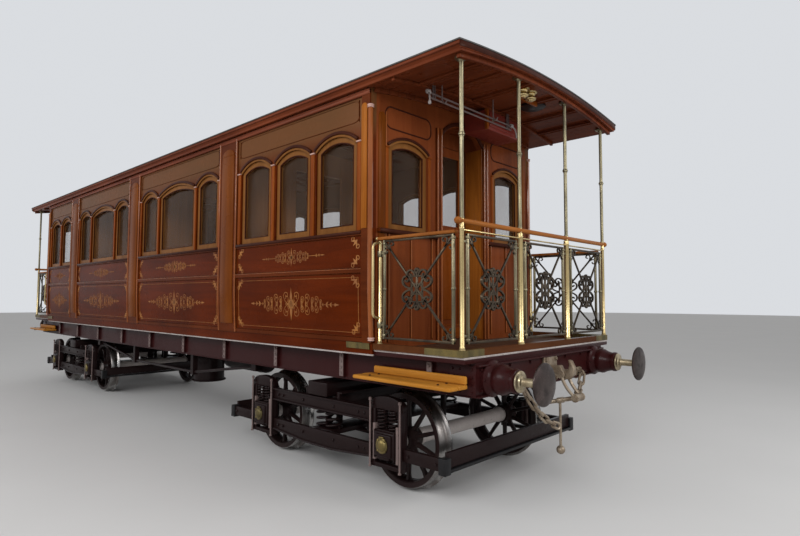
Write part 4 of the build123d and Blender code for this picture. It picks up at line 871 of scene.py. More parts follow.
def stiles(half, low, high):
    """The two brass uprights of a panel."""
    pair = []
    for x in (0.010 - half, half - 0.010):
        pair.append(slab("stile", (x - 0.010, -0.012, low), (x + 0.010, 0.012, high), 0.004))
        for z in (low + 0.030, (low + high) / 2, high - 0.030):
            knob = ringed("stile_knob", even(((0.018, 0.004), (0.014, 0.011), (0.008, 0.011))), 20)
            pair.append(placed(knob, (x, 0, z)))
    return joined(pair)


def balustrades():
    """Fixed panels across the ends, and the swinging side gates."""
    low = flange + 1.278
    high = flange + 2.072
    joint = 0.040
    pole_face = pole_y - pole_radius
    inner_face = inner_pole_y + inner_pole_radius
    outer_centre = (pole_face + inner_face) / 2
    outer_half = (pole_face - inner_face) / 2 - joint
    inner_half = inner_pole_y - inner_pole_radius - joint
    quarter = Matrix.Rotation(math.pi / 2, 4, "Z")
    outer, inner = panel_ironwork(outer_half, low, high), panel_ironwork(inner_half, low, high)
    outer_stiles, inner_stiles = stiles(outer_half, low, high), stiles(inner_half, low, high)
    iron, brass = [], []
    for turn in (Matrix(), half_turn):
        for y, panel, uprights in (
            (-outer_centre, outer, outer_stiles), (outer_centre, outer, outer_stiles), (0, inner, inner_stiles)
        ):
            place = turn @ at(pole_x, y, 0) @ quarter
            iron.append(copied(panel, place))
            brass.append(copied(uprights, place))
    for y0, y1 in (
        (-pole_face, -outer_centre - outer_half), (-outer_centre + outer_half, -inner_face),
        (-inner_pole_y + inner_pole_radius, -inner_half),
    ):
        for z in (low + 0.060, high - 0.060):
            lug = slab("lug", (pole_x - 0.008, y0 - 0.002, z - 0.008), (pole_x + 0.008, y1 + 0.002, z + 0.008), 0.002)
            brass.append(four_corners(lug))
    made("end_panel_ironwork", joined(iron), bronze, replaces=("end_panels",))
    made("end_panel_stiles", joined(brass), worn_brass)
    x0, x1 = gate_x + joint, pole_x - 0.066
    half, centre = (x1 - x0) / 2, (x0 + x1) / 2
    gate = panel_ironwork(half, low, high)
    parts = [stiles(half, low, high)]
    for z in (low + 0.110, high - 0.110):
        knuckle = ringed("knuckle", even(((0.0225, 0.021), (0.021, 0.024), (0.0145, 0.024))), 24)
        parts.append(placed(knuckle, (gate_x - centre, 0, z)))
        lug = slab("lug", (gate_x + 0.018 - centre, -0.008, z - 0.008), (-half + 0.012, 0.008, z + 0.008), 0.002)
        parts.append(lug)
    gate_stiles = joined(parts)
    for end, way in ends:
        for side, hand in hands:
            body = f"side_gate_{end}_{side}"
            place = Matrix.Diagonal((way, hand, 1, 1)) @ at(centre, pole_y, 0)
            made(f"gate_ironwork_{end}_{side}", copied(gate, place), bronze, body, (body,))
            made(f"gate_stiles_{end}_{side}", copied(gate_stiles, place), worn_brass, body, (body,))
    gone(outer, outer_stiles, inner, inner_stiles, gate, gate_stiles)


balustrades()


def ceiling_at(y):
    """Height of the ceiling at a distance from the middle."""
    rise = ceiling_crown - eave
    radius = (eave_y**2 + rise**2) / (2 * rise)
    return ceiling_crown - radius + math.sqrt(radius**2 - y**2)


def pole(radius, stem, top):
    """Turned pole from its shoe to the ceiling, with rings, collar and rose."""
    rail_z = flange + 2.157
    shoe = ((0.007, 0), (0.007, 0.006), (0.003, 0.010), (0.004, 0.020), (0, 0.026))
    rings = ((0, -0.060), (0.003, -0.056), (0.003, -0.050), (0, -0.046), (0, -0.024))
    socket = ((0, -0.019), (0, 0.019), (0.003, 0.021), (0.003, 0.028), (0, 0.032))
    collar = even(((0.009, 0.004), (0.002, 0.011), (0.004, 0.013), (0.004, 0.018), (0, 0.020)))
    neck = ((0, -0.035), (0.006, -0.022), (0.010, -0.014))
    rose = ((0.044, -0.010), (0.050, -0.004), (0.050, 0.002), (0, 0.002))
    return turned("pole", [
        (0, edging_top), *stepped(radius, edging_top, shoe), *stepped(radius, rail_z, rings),
        *stepped(stem, rail_z, socket), *stepped(stem, flange + 2.784, collar), *stepped(stem, top, neck),
        *stepped(0, top, rose),
    ], 24)


def brass_poles():
    """Poles, hinge posts and grab rails of both platforms."""
    pieces = []
    for y, radius in ((pole_y, 0.0165), (inner_pole_y, inner_pole_radius)):
        pieces.append(placed(pole(radius, 0.0155, ceiling_at(y) - 0.006), (pole_x, y, 0)))
    foot = ((0, 0), (0.021, 0), (0.021, 0.006), (0.016, 0.010), (0.0175, 0.018), (0.014, 0.024))
    top = ((0.014, -0.004), (0.011, 0), (0, 0))
    post = turned("post", stepped(0, edging_top, foot) + stepped(0, flange + 2.069, top), 24)
    pieces.append(placed(post, (gate_x, pole_y, 0)))
    grab_y = pole_y + 0.080
    low, high = flange + 1.446, flange + 2.050
    worn_from = flange + 2.160
    grab = ((gate_x, pole_y, high), (gate_x, grab_y, high), (gate_x, grab_y, low), (gate_x, pole_y, low))
    pieces.append(rail("grab", grab, 0.011, 0.045, sides=4, steps=8))
    poles = made("platform_poles", four_corners(*pieces), old_brass, replaces=("poles",), smooth=40)
    poles.data.materials.append(worn_brass.material)
    for face in poles.data.polygons:
        if face.center.z > worn_from:
            face.material_index = 1


brass_poles()


def handrails():
    """Round wooden rails across the platforms, with ball ends, and the flat metal bar below."""
    ball = (
        (0.019, -0.030), (0.0165, -0.026), (0.021, -0.022), (0.0255, -0.010), (0.026, 0.002), (0.0235, 0.014),
        (0.017, 0.023), (0.008, 0.0265), (0, 0.027),
    )
    stick = turned("stick", even(stepped(0, pole_y + 0.046, ball), [(0.019, 0)]), 28)
    placed(stick, (pole_x, 0, flange + 2.157), lay_y)
    made("handrails", both_ends(stick), rail_wood, replaces=("end_handrails",), smooth=40)
    flat = slab("flat_bar", (pole_x - 0.012, -pole_y, flange + 2.088), (pole_x + 0.012, pole_y, flange + 2.097), 0.002)
    made("flat_bars", both_ends(flat), old_brass)


handrails()


# Trim of the body's sides


def side_y(z):
    """Distance of the body's outer face from the middle at a height."""
    below = max(waist - z, 0) / (waist - wall_foot)
    return body_y - tumblehome * below**2


def window_spots():
    """Centre and width of each window of a side."""
    spots = []
    for (left, right), widths, pier in zip(bays, bay_windows, bay_piers):
        edge = (left + right) / 2 + (sum(widths) + pier * (len(widths) - 1)) / 2
        for width in widths:
            spots.append((edge - width / 2, width))
            edge -= width + pier
    return spots


def arch(centre, width, rise, spring, out=0.0, steps=14):
    """Points of an arch in X and Z, from right to left, moved out from the opening's edge."""
    half = width / 2
    radius = (half**2 + rise**2) / (2 * rise)
    swing = math.asin(half / radius)
    middle = spring + rise - radius
    turns = [swing - 2 * swing * i / steps for i in range(steps + 1)]
    return [(centre + (radius + out) * math.sin(turn), middle + (radius + out) * math.cos(turn)) for turn in turns]


def hood(name, opening, inner, outer, face, proud):
    """Arched moulding over a window, its outer edge rounded. An opening is a centre, width, rise and spring."""
    outline = [(x, face, z) for x, z in arch(*opening, inner) + arch(*opening, outer)[::-1]]
    return board(name, outline, (0, proud, 0), min(proud, outer - inner) * 0.35)


def climbing(x, low, high, out, steps=5):
    """Points up the side at one place, following its curve."""
    return [(x, side_y(z) + out, z) for z in (low + (high - low) * i / steps for i in range(steps + 1))]


def framed(name, x0, x1, low, high, radius, out, bend=0.0):
    """Closed strip round a panel of the side."""
    return bead(name, climbing(x1, low, high, out) + climbing(x0, low, high, out)[::-1], radius, True, bend)


def window(opening, foot, face, outer, proud):
    """Hood and arch of one window on a face along Y, and the bead round its pane."""
    centre, width, rise, spring = opening
    light = width - 0.104
    rim = [(centre - light / 2 + 0.005, foot), (centre + light / 2 - 0.005, foot)]
    rim += arch(centre, light, rise - 0.038, spring - 0.014, -0.005, 8)
    return (
        hood("hood", opening, 0.016, outer, face - sunk, proud),
        hood("arch", opening, -0.004, 0.017, face - sunk, 0.012),
        bead("rim", [(x, face - 0.017, z) for x, z in rim], 0.008, True),
    )


def mullion(x, half, lap, foot, spring, face, depth, proud):
    """Upright board beside a window on a face along Y, and its cap."""
    return (
        slab("mullion", (x - half, face - depth, foot), (x + half, face + 0.010, spring), 0.005, 3),
        slab("cap", (x - lap, face, spring - 0.004), (x + lap, face + proud, spring + 0.008), 0.004, 3),
    )


def dressed(rows, whole):
    """Join the pieces of each row into one, repeat it, and give it its name and finish."""
    for name, pieces, finish in rows:
        made(name, whole(*pieces), finish)


def window_trim():
    """Hoods, sills, mullions with their caps, and the dark bead round each pane."""
    openings = [(*spot, window_rise, window_spring) for spot in window_spots()]
    trims = [window(opening, window_foot + 0.057, body_y, 0.046, 0.022) for opening in openings]
    hoods, arches, rims = map(list, zip(*trims))
    uprights = []
    for (left, right), pier in zip(bays, bay_piers):
        spots = [spot for spot in window_spots() if left < spot[0] < right]
        outer = spots[0][0] + spots[0][1] / 2
        inner = spots[-1][0] - spots[-1][1] / 2
        piers = [(here[0] - here[1] / 2 - pier / 2, pier * 0.55) for here in spots[:-1]]
        piers += [((outer + right) / 2, (right - outer) * 0.62), ((inner + left) / 2, (inner - left) * 0.62)]
        for x, width in piers:
            half = width / 2
            uprights.append(mullion(x, half, half + 0.005, flange + 2.157, window_spring, body_y, sunk, 0.020))
        # The sill takes the dark hood finish. This is the wood of the sill and also painted shade for the shadow under
        # the ledge.
        sill = (left, body_y - sunk, flange + 2.134)
        hoods.append(slab("sill", sill, (right, body_y + 0.026, flange + 2.163), 0.009, 3))
    strips, caps = zip(*uprights)
    # The mullion caps take the pale painted highlight.
    dressed((
        ("window_hoods", hoods, head_wood), ("window_arches", arches, sash_wood), ("mullions", strips, mullion_wood),
        ("mullion_caps", caps, painted_cap_highlight), ("pane_rims", rims, head_wood),
    ), both_sides)


def panel_trim():
    """Mouldings round the eaves, waist and lower panels, pilaster boards and corner columns."""
    dark, light, corner, bright, caps = [], [], [], [], []
    for left, right in bays:
        eaves = (flange + 3.085, flange + 3.268)
        dark.append(framed("eaves_panel", left + 0.045, right - 0.045, *eaves, 0.0075, -0.001, 0.075))
        for low, high in ((1.286, 1.806), (1.856, 2.116)):
            dark.append(framed("panel_bead", left + 0.010, right - 0.010, flange + low, flange + high, 0.006, -0.001))
        line = [(x, body_y + 0.015, flange + 1.846) for x in (left, right)]
        bright.append(bead("waist_line", line, 0.003))
    half = pilaster / 2
    inset = half - 0.060
    face = 0.016
    low, high = flange + 1.330, flange + 3.150
    for near, far in zip(bays, bays[1:]):
        x = (near[0] + far[1]) / 2
        for edge in (x - (half - 0.012), x + (half - 0.012)):
            bright.append(bead("pilaster_bead", climbing(edge, flange + 1.245, flange + 3.325, face), 0.010))
        section = climbing(0, low, high, face - 0.003) + climbing(0, low, high, face + 0.007)[::-1]
        light.append(board("pilaster_board", [(x - inset, y, z) for _, y, z in section], (2 * inset, 0, 0), 0.004))
        top = crown(x, body_y + face - 0.003, high - 0.001, inset, inset * 0.62)
        light.append(board("pilaster_top", top, (0, 0.010, 0), 0.004))
    low, high = flange + 2.175, flange + 3.190
    for way in (-1, 1):
        x = way * (body_x - 0.062)
        outline = [(x - 0.034, body_y + 0.013, low), (x + 0.034, body_y + 0.013, low)]
        outline += crown(x, body_y + 0.013, high, 0.034, 0.034, 12)
        corner.append(board("corner_board", outline, (0, 0.010, 0), 0.004))
        x = way * (body_x - 0.002)
        bright.append(bead("corner_column", climbing(x, flange + 1.268, high, 0.004), 0.021))
        for z in (flange + 1.274, flange + 3.186):
            cap = turned("column_cap", (
                (0, -0.014), (0.026, -0.014), (0.029, -0.009), (0.024, -0.003), (0.029, 0.004), (0.029, 0.010),
                (0.022, 0.014), (0, 0.014),
            ), 20)
            caps.append(placed(cap, (x, side_y(z) + 0.004, z)))
    # The beads and corner columns take the lighter bead wood, partly a painted highlight, and the column caps take a
    # pale painted highlight.
    dressed((
        ("panel_mouldings", dark, moulding_wood), ("pilaster_boards", light, upright_wood),
        ("corner_boards", corner, corner_wood), ("polished_beads_painted_highlight", bright, polished_wood_painted_highlight),
        ("column_caps", caps, painted_cap_highlight),
    ), both_sides)


def leaf(length, width, spot=(0, 0, 0), turn=0.0):
    """Pointed leaf for painted ornament, up Z from its spot before it is turned."""
    share = ((0.5, 0.22), (0.42, 0.5), (0.12, 0.8))
    points = [(0, 0), *((width * out, length * up) for out, up in share), (0, length)]
    outline = [(x, 0, z) for x, z in points] + [(-x, 0, z) for x, z in points[-2:0:-1]]
    return placed(board("leaf", outline, (0, 0.002, 0)), spot, (0, math.radians(turn), 0))


def tendrils(reach, size):
    """One half of a painted scroll ornament, running out along X from the origin."""
    parts = []
    x = size * 0.30
    for step in (0.62, 0.40, 0.52, 0.34, 0.40, 0.24):
        bend = size * step
        for way in (1, -1):
            arcs = [(bend * r, way * turn) for r, turn in ((1.1, 55), (0.40, 150), (0.22, 170), (0.11, 120))]
            parts.append(scroll("curl", (x, 0), math.radians(way * 12), arcs, 0.005, 0.002))
            arcs = [(bend * r, -way * turn) for r, turn in ((0.8, 50), (0.26, 160), (0.13, 120))]
            parts.append(scroll("back_curl", (x + bend * 0.5, 0), math.radians(180 - way * 20), arcs, 0.004, 0.002))
            for turn in (38, 66):
                spot = (x + bend * 1.15, 0, way * bend * 0.10)
                parts.append(leaf(bend * 0.50, bend * 0.17, spot, turn if way > 0 else 180 - turn))
        x += bend * 1.12
    for share, grow in ((0.74, 0.30), (0.82, 0.24), (0.90, 0.18)):
        for turn in (50, 130):
            parts.append(leaf(size * grow, size * grow * 0.36, (reach * share, 0, 0), turn))
    parts.append(slab("stem", (x - size * 0.10, 0, -0.0022), (reach * 0.90, 0.002, 0.0022), 0))
    parts.append(leaf(reach * 0.10, size * 0.12, (reach * 0.90, 0, 0), 90))
    return joined(parts)


def ornament(reach, size):
    """Painted ornament of scrolls and leaves about the origin, in X and Z."""
    half = tendrils(reach, size)
    parts = [half, copied(half, mirror_x)]
    for i in range(4):
        parts.append(leaf(size * (0.5 if i % 2 else 1.05), size * 0.26, turn=90 * i))
        parts.append(leaf(size * 0.42, size * 0.16, turn=90 * i + 45))
    for radius in (size * 0.16, size * 0.30):
        inner, outer = radius - size * 0.02, radius + size * 0.02
        ring = ringed("ring", ((inner, 0), (outer, 0), (outer, 0.002), (inner, 0.002)), 28)
        parts.append(placed(ring, (0, 0.002, 0), lay_back))
    return joined(parts)


def gilding():
    """Gold lines, corner sprays and ornaments painted on the panels."""
    large = ornament(0.70, 0.150)
    small = ornament(0.50, 0.085)
    spray = joined([
        scroll("spray_curl", (0, 0), math.radians(35), [(0.070, -50), (0.018, -200), (0.009, -140)], 0.007, 0.002),
        scroll("spray_twin", (0, 0), math.radians(55), [(0.070, 50), (0.018, 200), (0.009, 140)], 0.007, 0.002),
        leaf(0.075, 0.028, turn=45),
        leaf(0.060, 0.018, (0.020, 0, 0.004), 82),
        leaf(0.060, 0.018, (0.004, 0, 0.020), 8),
    ])
    parts = []
    low, high = flange + 1.318, flange + 1.776
    first_bay = bays[0][1] - bays[0][0]
    foot_lean, middle_lean = 0.081, 0.0358
    for left, right in bays:
        fit = (right - left) / first_bay
        parts.append(framed("gold_line", left + 0.048, right - 0.048, low, high, 0.0035, -0.002))
        spots = [(shape, (left + right) / 2, z, tilt, 0.0004, (fit, 1, 1, 1)) for shape, z, tilt in (
            (large, flange + 1.545, middle_lean), (small, flange + 1.986, 0)
        )]
        for z, up in ((low + 0.012, 1), (high - 0.012, -1), (flange + 1.885, 1), (flange + 2.090, -1)):
            tilt = foot_lean * max(waist - z, 0) / (waist - wall_foot)
            for side, edge in ((1, left + 0.060), (-1, right - 0.060)):
                spots.append((spray, edge, z, tilt, 0.0002, (side, 1, up, 1)))
        for shape, x, z, tilt, depth, scale in spots:
            place = at(x, side_y(z) - depth, z) @ Matrix.Rotation(-tilt, 4, "X") @ Matrix.Diagonal(scale)
            parts.append(copied(shape, place))
    gone(large, small, spray)
    half = joined(parts)
    made("gilding_right", copied(half, mirror_y), gold_paint)
    made("gilding_left", half, gold_paint)


window_trim()
panel_trim()
gilding()


# Trim of the end walls, doors and platform ceilings


def upright(name, x, y, low, high, radius):
    """Upright bead at one place."""
    return bead(name, ((x, y, flange + low), (x, y, flange + high)), radius)


def ring_of(x0, x1, low, high, face):
    """Corners of an upright rectangle that faces along Y."""
    return ((x0, face, low), (x1, face, low), (x1, face, high), (x0, face, high))


def end_trim():
    """Hoods, mullions, eaves panels, corner boards and beads of the end walls."""
    spring, rise = flange + 2.880, 0.085
    face = body_x
    dark, arches, strips, light, rims, bright = [], [], [], [], [], []
    for side in (-1, 1):
        centre = side * 0.780
        trims = window((centre, 0.500, rise, spring), flange + 2.237, face, 0.042, 0.020)
        for pieces, piece in zip((dark, arches, rims), trims):
            pieces.append(piece)
        for x in (centre - 0.274, centre + 0.274):
            strips += mullion(x, 0.017, 0.021, flange + 2.182, spring, face, 0.003, 0.019)
        panel = ring_of(centre - 0.300, centre + 0.290, flange + 3.050, flange + 3.235, face - 0.001)
        dark.append(bead("end_eaves_panel", panel, 0.0075, True, 0.070))
        x, low, high = side * 1.112, flange + 1.262, flange + 3.130
        outline = [(x - 0.040, face - 0.003, low), (x + 0.040, face - 0.003, low)]
        outline += crown(x, face - 0.003, high, 0.040, 0.040)
        light.append(board("end_corner_board", outline, (0, 0.012, 0), 0.004))
        bright.append(upright("end_board_bead", side * 1.062, face, 1.245, 3.180, 0.009))
        for y in (0.345, 0.399):
            bright.append(upright("doorway_bead", side * y, face + 0.020, 1.195, 3.186, 0.009))
        light.append(upright("jamb_bead", side * 0.326, face - 0.004, 1.195, 3.128, 0.010))
        for i in range(3):
            bright.append(upright("board_bead", side * (0.470 + 0.280 * i), face + 0.009, 1.243, 2.148, 0.007))
        ledge = (side * 0.412, face - 0.003, flange + 2.146)
        dark.append(slab("end_ledge", ledge, (side * 1.160, face + 0.038, flange + 2.184), 0.009, 3))
    dark.append(hood("doorway_hood", (0, 0.640, 0.150, flange + 3.130), 0.004, 0.040, face - 0.003, 0.020))
    # The end beads take the lighter bead wood, partly a painted highlight.
    dressed((
        ("end_hoods", dark, head_wood), ("end_arches", arches, sash_wood), ("end_mullions", strips, mullion_wood),
        ("end_boards", light, upright_wood), ("end_rims", rims, head_wood), ("end_beads", bright, polished_wood_painted_highlight),
    ), lambda *pieces: both_ends(placed(joined(pieces), turn=quarter_back)))


def doorway_lining():
    """Orange boards inside the doorways, with a bead on their edge."""
    parts = []
    for side in (-1, 1):
        y, face = side * 0.3195, side * 0.3195 - side * 0.003
        low, high = flange + 1.200, flange + 3.126
        parts.append(slab("lining", (body_x - 0.204, y, low), (body_x - 0.004, face, high), 0.001))
        for x in (body_x - 0.186, body_x - 0.030):
            parts.append(upright("lining_bead", x, face, 1.230, 3.060, 0.005))
    made("doorway_linings", both_ends(*parts), corner_wood)


def door_trim():
    """Mouldings, handle and plate of the end doors."""
    face = door_x
    glass_foot = flange + 2.320
    panel_low, panel_high = flange + 1.336, glass_foot - 0.090
    field = (-0.170, face - 0.014, flange + 1.390), (0.170, face - 0.003, glass_foot - 0.145)
    wood = placed(joined([
        bead("glass_bead", ring_of(-0.222, 0.222, glass_foot + 0.005, flange + 3.034, face), 0.007, True),
        bead("panel_bead", ring_of(-0.222, 0.222, panel_low, panel_high, face - 0.004), 0.008, True),
        slab("raised_field", *field, 0.005, 3),
        slab("kick_rail", (-0.290, face - 0.002, flange + 1.215), (0.290, face + 0.006, flange + 1.305), 0.004),
    ]), turn=quarter_back)
    knob = turned("knob", (
        (0, 0), (0.022, 0), (0.022, 0.004), (0.012, 0.008), (0.009, 0.020), (0.014, 0.030), (0.024, 0.036),
        (0.027, 0.045), (0.022, 0.054), (0.010, 0.058), (0, 0.058),
    ), 24)
    placed(knob, (face, -0.268, flange + 2.120), lay_x)
    plate = slab("plate", (face, -0.288, flange + 1.990), (face + 0.004, -0.248, flange + 2.190), 0.0015)
    brass = joined([knob, plate])
    for (end, _), place in zip(ends, (Matrix(), half_turn)):
        made(f"door_mouldings_{end}", copied(wood, place), mullion_wood, f"door_{end}")
        made(f"door_handle_{end}", copied(brass, place), old_brass, f"door_{end}")
    gone(wood, brass)


def across(reach, steps):
    """Even places from one side to the other."""
    return [reach - 2 * reach * i / steps for i in range(steps + 1)]


def rib(name, x0, x1, depth, reach=1.278):
    """Board that follows the ceiling across the coach."""
    outline = [(x0, y, ceiling_at(y) + 0.002) for y in across(reach, 24)]
    outline += [(x0, y, ceiling_at(y) - depth) for y in reversed(across(reach, 24))]
    return board(name, outline, (x1 - x0, 0, 0), 0.006)


def roof_arc(y, lift=roof_rise):
    """Height of the roof's edge board at a distance from the middle."""
    return roof_edge + lift * (1 - (y / roof_y) ** 2)


def ceiling_trim():
    """Curved ribs, battens and edge mouldings under the platform roofs, and the cornice beads."""
    outer = pole_x + 0.030
    pieces = [
        rib("wall_rib", body_x + 0.001, body_x + 0.028, 0.040, 1.210), rib("outer_rib", outer, pole_x + 0.066, 0.034),
        rib("middle_rib", body_x + 0.268, body_x + 0.300, 0.026),
    ]
    for y in (-0.960, -0.620, -0.220, 0.220, 0.620, 0.960):
        z = ceiling_at(y) - 0.018
        for edge in (y - 0.024, y + 0.024):
            pieces.append(bead("batten_edge", ((body_x + 0.302, edge, z), (outer, edge, z)), 0.005))
    for drop, lift, radius in ((0.020, roof_rise, 0.008), (0.050, roof_rise + 0.006, 0.006)):
        line = [(roof_x, y, roof_arc(y, lift) - drop) for y in across(1.318, 24)]
        pieces.append(bead("fascia_bead", line, radius))
    made("ceiling_trim", both_ends(*pieces), ceiling_wood)
    made("cornice_beads", both_sides(
        bead("cornice_bead", [(x, 1.322, eave + 0.050) for x in (-roof_x, roof_x)], 0.009),
        bead("eave_bead", [(x, eave_y - 0.030, eave - 0.010) for x in (-body_x, body_x)], 0.012),
        slab("frieze", (-body_x, body_y - sunk, eave - 0.046), (body_x, body_y + 0.024, eave + 0.001), 0.008, 3),
    ), cornice_wood)


def roof_trim():
    """Dark edge boards across the roof's ends, and the seams of its canvas."""
    ys = across(1.322, 28)
    outline = [(roof_x - 0.001, y, roof_arc(y) - 0.006) for y in ys]
    outline += [(roof_x - 0.001, y, roof_arc(y) - 0.046) for y in reversed(ys)]
    made("roof_edges", both_ends(board("roof_edge", outline, (0.009, 0, 0), 0.002)), head_wood)
    seams = []
    for i in range(13):
        x = -5.10 + 0.85 * i
        seams.append(bead("seam", [(x, y, roof_arc(y) + 0.002) for y in ys[1:-1]], 0.006))
    made("canvas_seams", joined(seams), roof_canvas)


def signal_rods():
    """Signal rods with their hangers, ends and cord hooks under the near platform's ceiling."""
    x = body_x + 0.305
    low = flange + 3.286
    iron = [rail("signal_rod", ((x, -0.860, z), (x, 0.400, z)), 0.008) for z in (low, low + 0.040)]
    for y in (-0.800, 0.340):
        for side in (y - 0.012, y + 0.012):
            top = (x + 0.010, side + 0.003, ceiling_at(y) + 0.002)
            iron.append(slab("hanger", (x - 0.010, side - 0.003, low - 0.012), top, 0.001))
    for hook_x, y in ((4.900, -0.740), (4.970, -0.080)):
        drop = ((-0.060, ceiling_at(y)), (-0.060, low - 0.010), (-0.030, low - 0.050), (-0.010, low - 0.020))
        iron.append(rail("cord_hook", [(hook_x + out, y, z) for out, z in drop], 0.006, 0.015, steps=4))
    pieces = []
    for y, way in ((-0.870, -1), (0.410, 1)):
        boss = turned("rod_boss", even(((0.020, 0.012), (0.016, 0.020), (0, 0.020))), 20)
        pieces.append(placed(boss, (x, y, low + 0.044), lay_back))
        bent = ((0, 0, 0.044), (0.030, 0.020, 0.010), (0.040, 0.030, -0.060))
        arm = [(x + out, y + way * along, low + up) for out, along, up in bent]
        pieces.append(rail("rod_arm", arm, 0.007, 0.020, steps=4))
        grip = turned("rod_grip", ((0, -0.016), (0.011, -0.014), (0.014, 0), (0.011, 0.014), (0, 0.016)), 16)
        pieces.append(placed(grip, (x + 0.041, y + way * 0.031, low - 0.066)))
    made("signal_rods", joined(iron), guide_paint, replaces=("platform_fittings",))
    made("signal_rod_ends", joined(pieces), white_paint)


def ceiling_fittings():
    """Cupboard, lamps and their boards under the near platform's ceiling."""
    top = ceiling_at(0.620) - 0.001
    box = slab("box", (body_x + 0.001, 0.020, top - 0.190), (body_x + 0.280, 0.620, top), 0.008, 3)
    field = slab("box_door", (body_x + 0.278, 0.060, top - 0.160), (body_x + 0.290, 0.580, top - 0.030), 0.005, 3)
    made("cupboard", joined([box, field]), red_paint, replaces=("platform_fittings",))
    edge = slab("box_edge", (body_x + 0.262, 0.004, top - 0.196), (body_x + 0.296, 0.034, top + 0.030), 0.005, 3)
    foot = (5.180, -0.070, ceiling_at(0) - 0.060)
    bracket = slab("lamp_board", foot, (5.206, 0.210, ceiling_at(0.1) + 0.001), 0.006, 3)
    made("cupboard_edging", joined([edge, bracket]), mullion_wood)
    knob = turned("knob", ((0, 0), (0.016, 0), (0.010, 0.012), (0.014, 0.022), (0.010, 0.030), (0, 0.030)), 20)
    made("cupboard_knob", placed(knob, (body_x + 0.290, 0.110, top - 0.095), lay_x), bare_iron)
    lamps = []
    for y in (-0.130, 0.0):
        shape = turned("lamp", (
            (0, -0.080), (0.026, -0.078), (0.030, -0.070), (0.046, -0.066), (0.050, -0.058), (0.046, -0.050),
            (0.034, -0.044), (0.030, -0.034), (0.040, -0.028), (0.044, -0.020), (0.040, -0.012), (0.056, -0.008),
            (0.060, -0.002), (0.060, 0), (0, 0),
        ), 28)
        lamps.append(placed(shape, (pole_x - 0.120, y, ceiling_at(y) + 0.002)))
    made("lamps", joined(lamps), old_brass)
    plate = turned("plate", ((0, -0.016), (0.110, -0.016), (0.120, -0.010), (0.124, 0), (0, 0)), 36)
    made("round_plate", placed(plate, (5.100, 0.300, ceiling_at(0.300) - 0.004)), bogie_paint)


end_trim()
doorway_lining()
door_trim()
ceiling_trim()
roof_trim()
signal_rods()
ceiling_fittings()


# Bogies, underframe and drawgear


def bolt_head(size):
    """Six-sided bolt head on its washer, standing on the origin along Z."""
    rows = ((0, -0.3), (1.5, -0.3), (1.5, 0.25), (1, 0.3), (1, 0.85), (0.8, 1.05), (0, 1.05))
    return turned("bolt", [(size * out, size * up) for out, up in rows], 6)


def bolts(size, spots, facing="Y"):
    """Bolt heads at several places, all facing along +Y or +X."""
    turn = Matrix.Rotation(-math.pi / 2, 4, "X") if facing == "Y" else Matrix.Rotation(math.pi / 2, 4, "Y")
    return spread([bolt_head(size)], [at(*spot) @ turn for spot in spots])


def horn(axle_x):
    """Horn guide over an axle: legs, arched crown and keep."""
    low, top = flange + 0.205, flange + 0.680
    pieces = []
    for side in (-1, 1):
        inner, outer = axle_x + side * 0.128, axle_x + side * 0.190
        pieces.append(slab("horn_leg", (inner, 0.972, low), (outer, 1.028, top + 0.004), 0.005))
        pieces.append(slab("horn_rib", (outer, 1.020, low + 0.010), (outer - side * 0.012, 1.044, top)))
    outline = [(axle_x - 0.190, 0.972, top), (axle_x + 0.190, 0.972, top)]
    outline += crown(axle_x, 0.972, top + 0.036, 0.190, 0.074, 12)
    pieces.append(board("horn_crown", outline, (0, 0.056, 0), 0.004))
    pieces.append(slab("horn_keep", (axle_x - 0.192, 0.968, low - 0.002), (axle_x + 0.192, 1.034, low + 0.034), 0.006))
    return joined(pieces)


def bogie_sides():
    """Painted side frame at +Y, its bolts, and its pale guide plates and rods."""
    low, high = flange + 0.560, flange + 0.680
    belly = ((-0.724, 0.374), (-0.724, 0.262), (-0.210, 0.222), (0.210, 0.222), (0.724, 0.262), (0.724, 0.374))
    pieces = [
        horn(-half_wheelbase), horn(half_wheelbase),
        slab("top_bar", (-0.724, 0.976, low), (0.724, 1.024, high), 0.006),
        slab("top_bar_lip", (-0.720, 1.018, high - 0.016), (0.720, 1.040, high), 0.004),
        slab("top_bar_foot", (-0.720, 1.018, low), (0.720, 1.040, low + 0.016), 0.004),
        board("tie_bar", [(x, 0.976, flange + z) for x, z in belly], (0, 0.048, 0), 0.006),
        rail("tie_bar_lip", [(x, 1.026, flange + z + 0.010) for x, z in belly[1:5]], 0.010, sides=1),
    ]
    pale, spots = [], []
    for axle_x in (-half_wheelbase, half_wheelbase):
        for side in (-1, 1):
            spots += [(axle_x + side * 0.158, 1.028, flange + z) for z in (0.260, 0.400, 0.500, 0.720)]
            foot = (axle_x + side * 0.120, 0.966, flange + 0.262)
            pale.append(slab("guide", foot, (axle_x + side * 0.146, 1.040, flange + 0.560)))
            rod = turned("guide_rod", stepped(0, flange, (
                (0, 0.196), (0.014, 0.196), (0.014, 0.206), (0.0085, 0.210), (0.0085, 0.742), (0.014, 0.746),
                (0.014, 0.764), (0.008, 0.770), (0, 0.770),
            )), 12)
            pale.append(placed(rod, (axle_x + side * 0.172, 1.046, 0)))
    for x in (-0.640, -0.560, -0.230, 0.230, 0.560, 0.640):
        spots += [(x, 1.024, flange + 0.620), (x, 1.024, flange + 0.318)]
    for way in (-1, 1):
        foot = (way * 1.096, 0.980, flange + 0.296)
        pieces.append(slab("end_bar", foot, (way * 1.526, 1.024, flange + 0.394), 0.005))
        spots += [(way * x, 1.024, flange + 0.345) for x in (1.150, 1.440)]
    return joined(pieces + [bolts(0.012, spots)]), joined(pale)


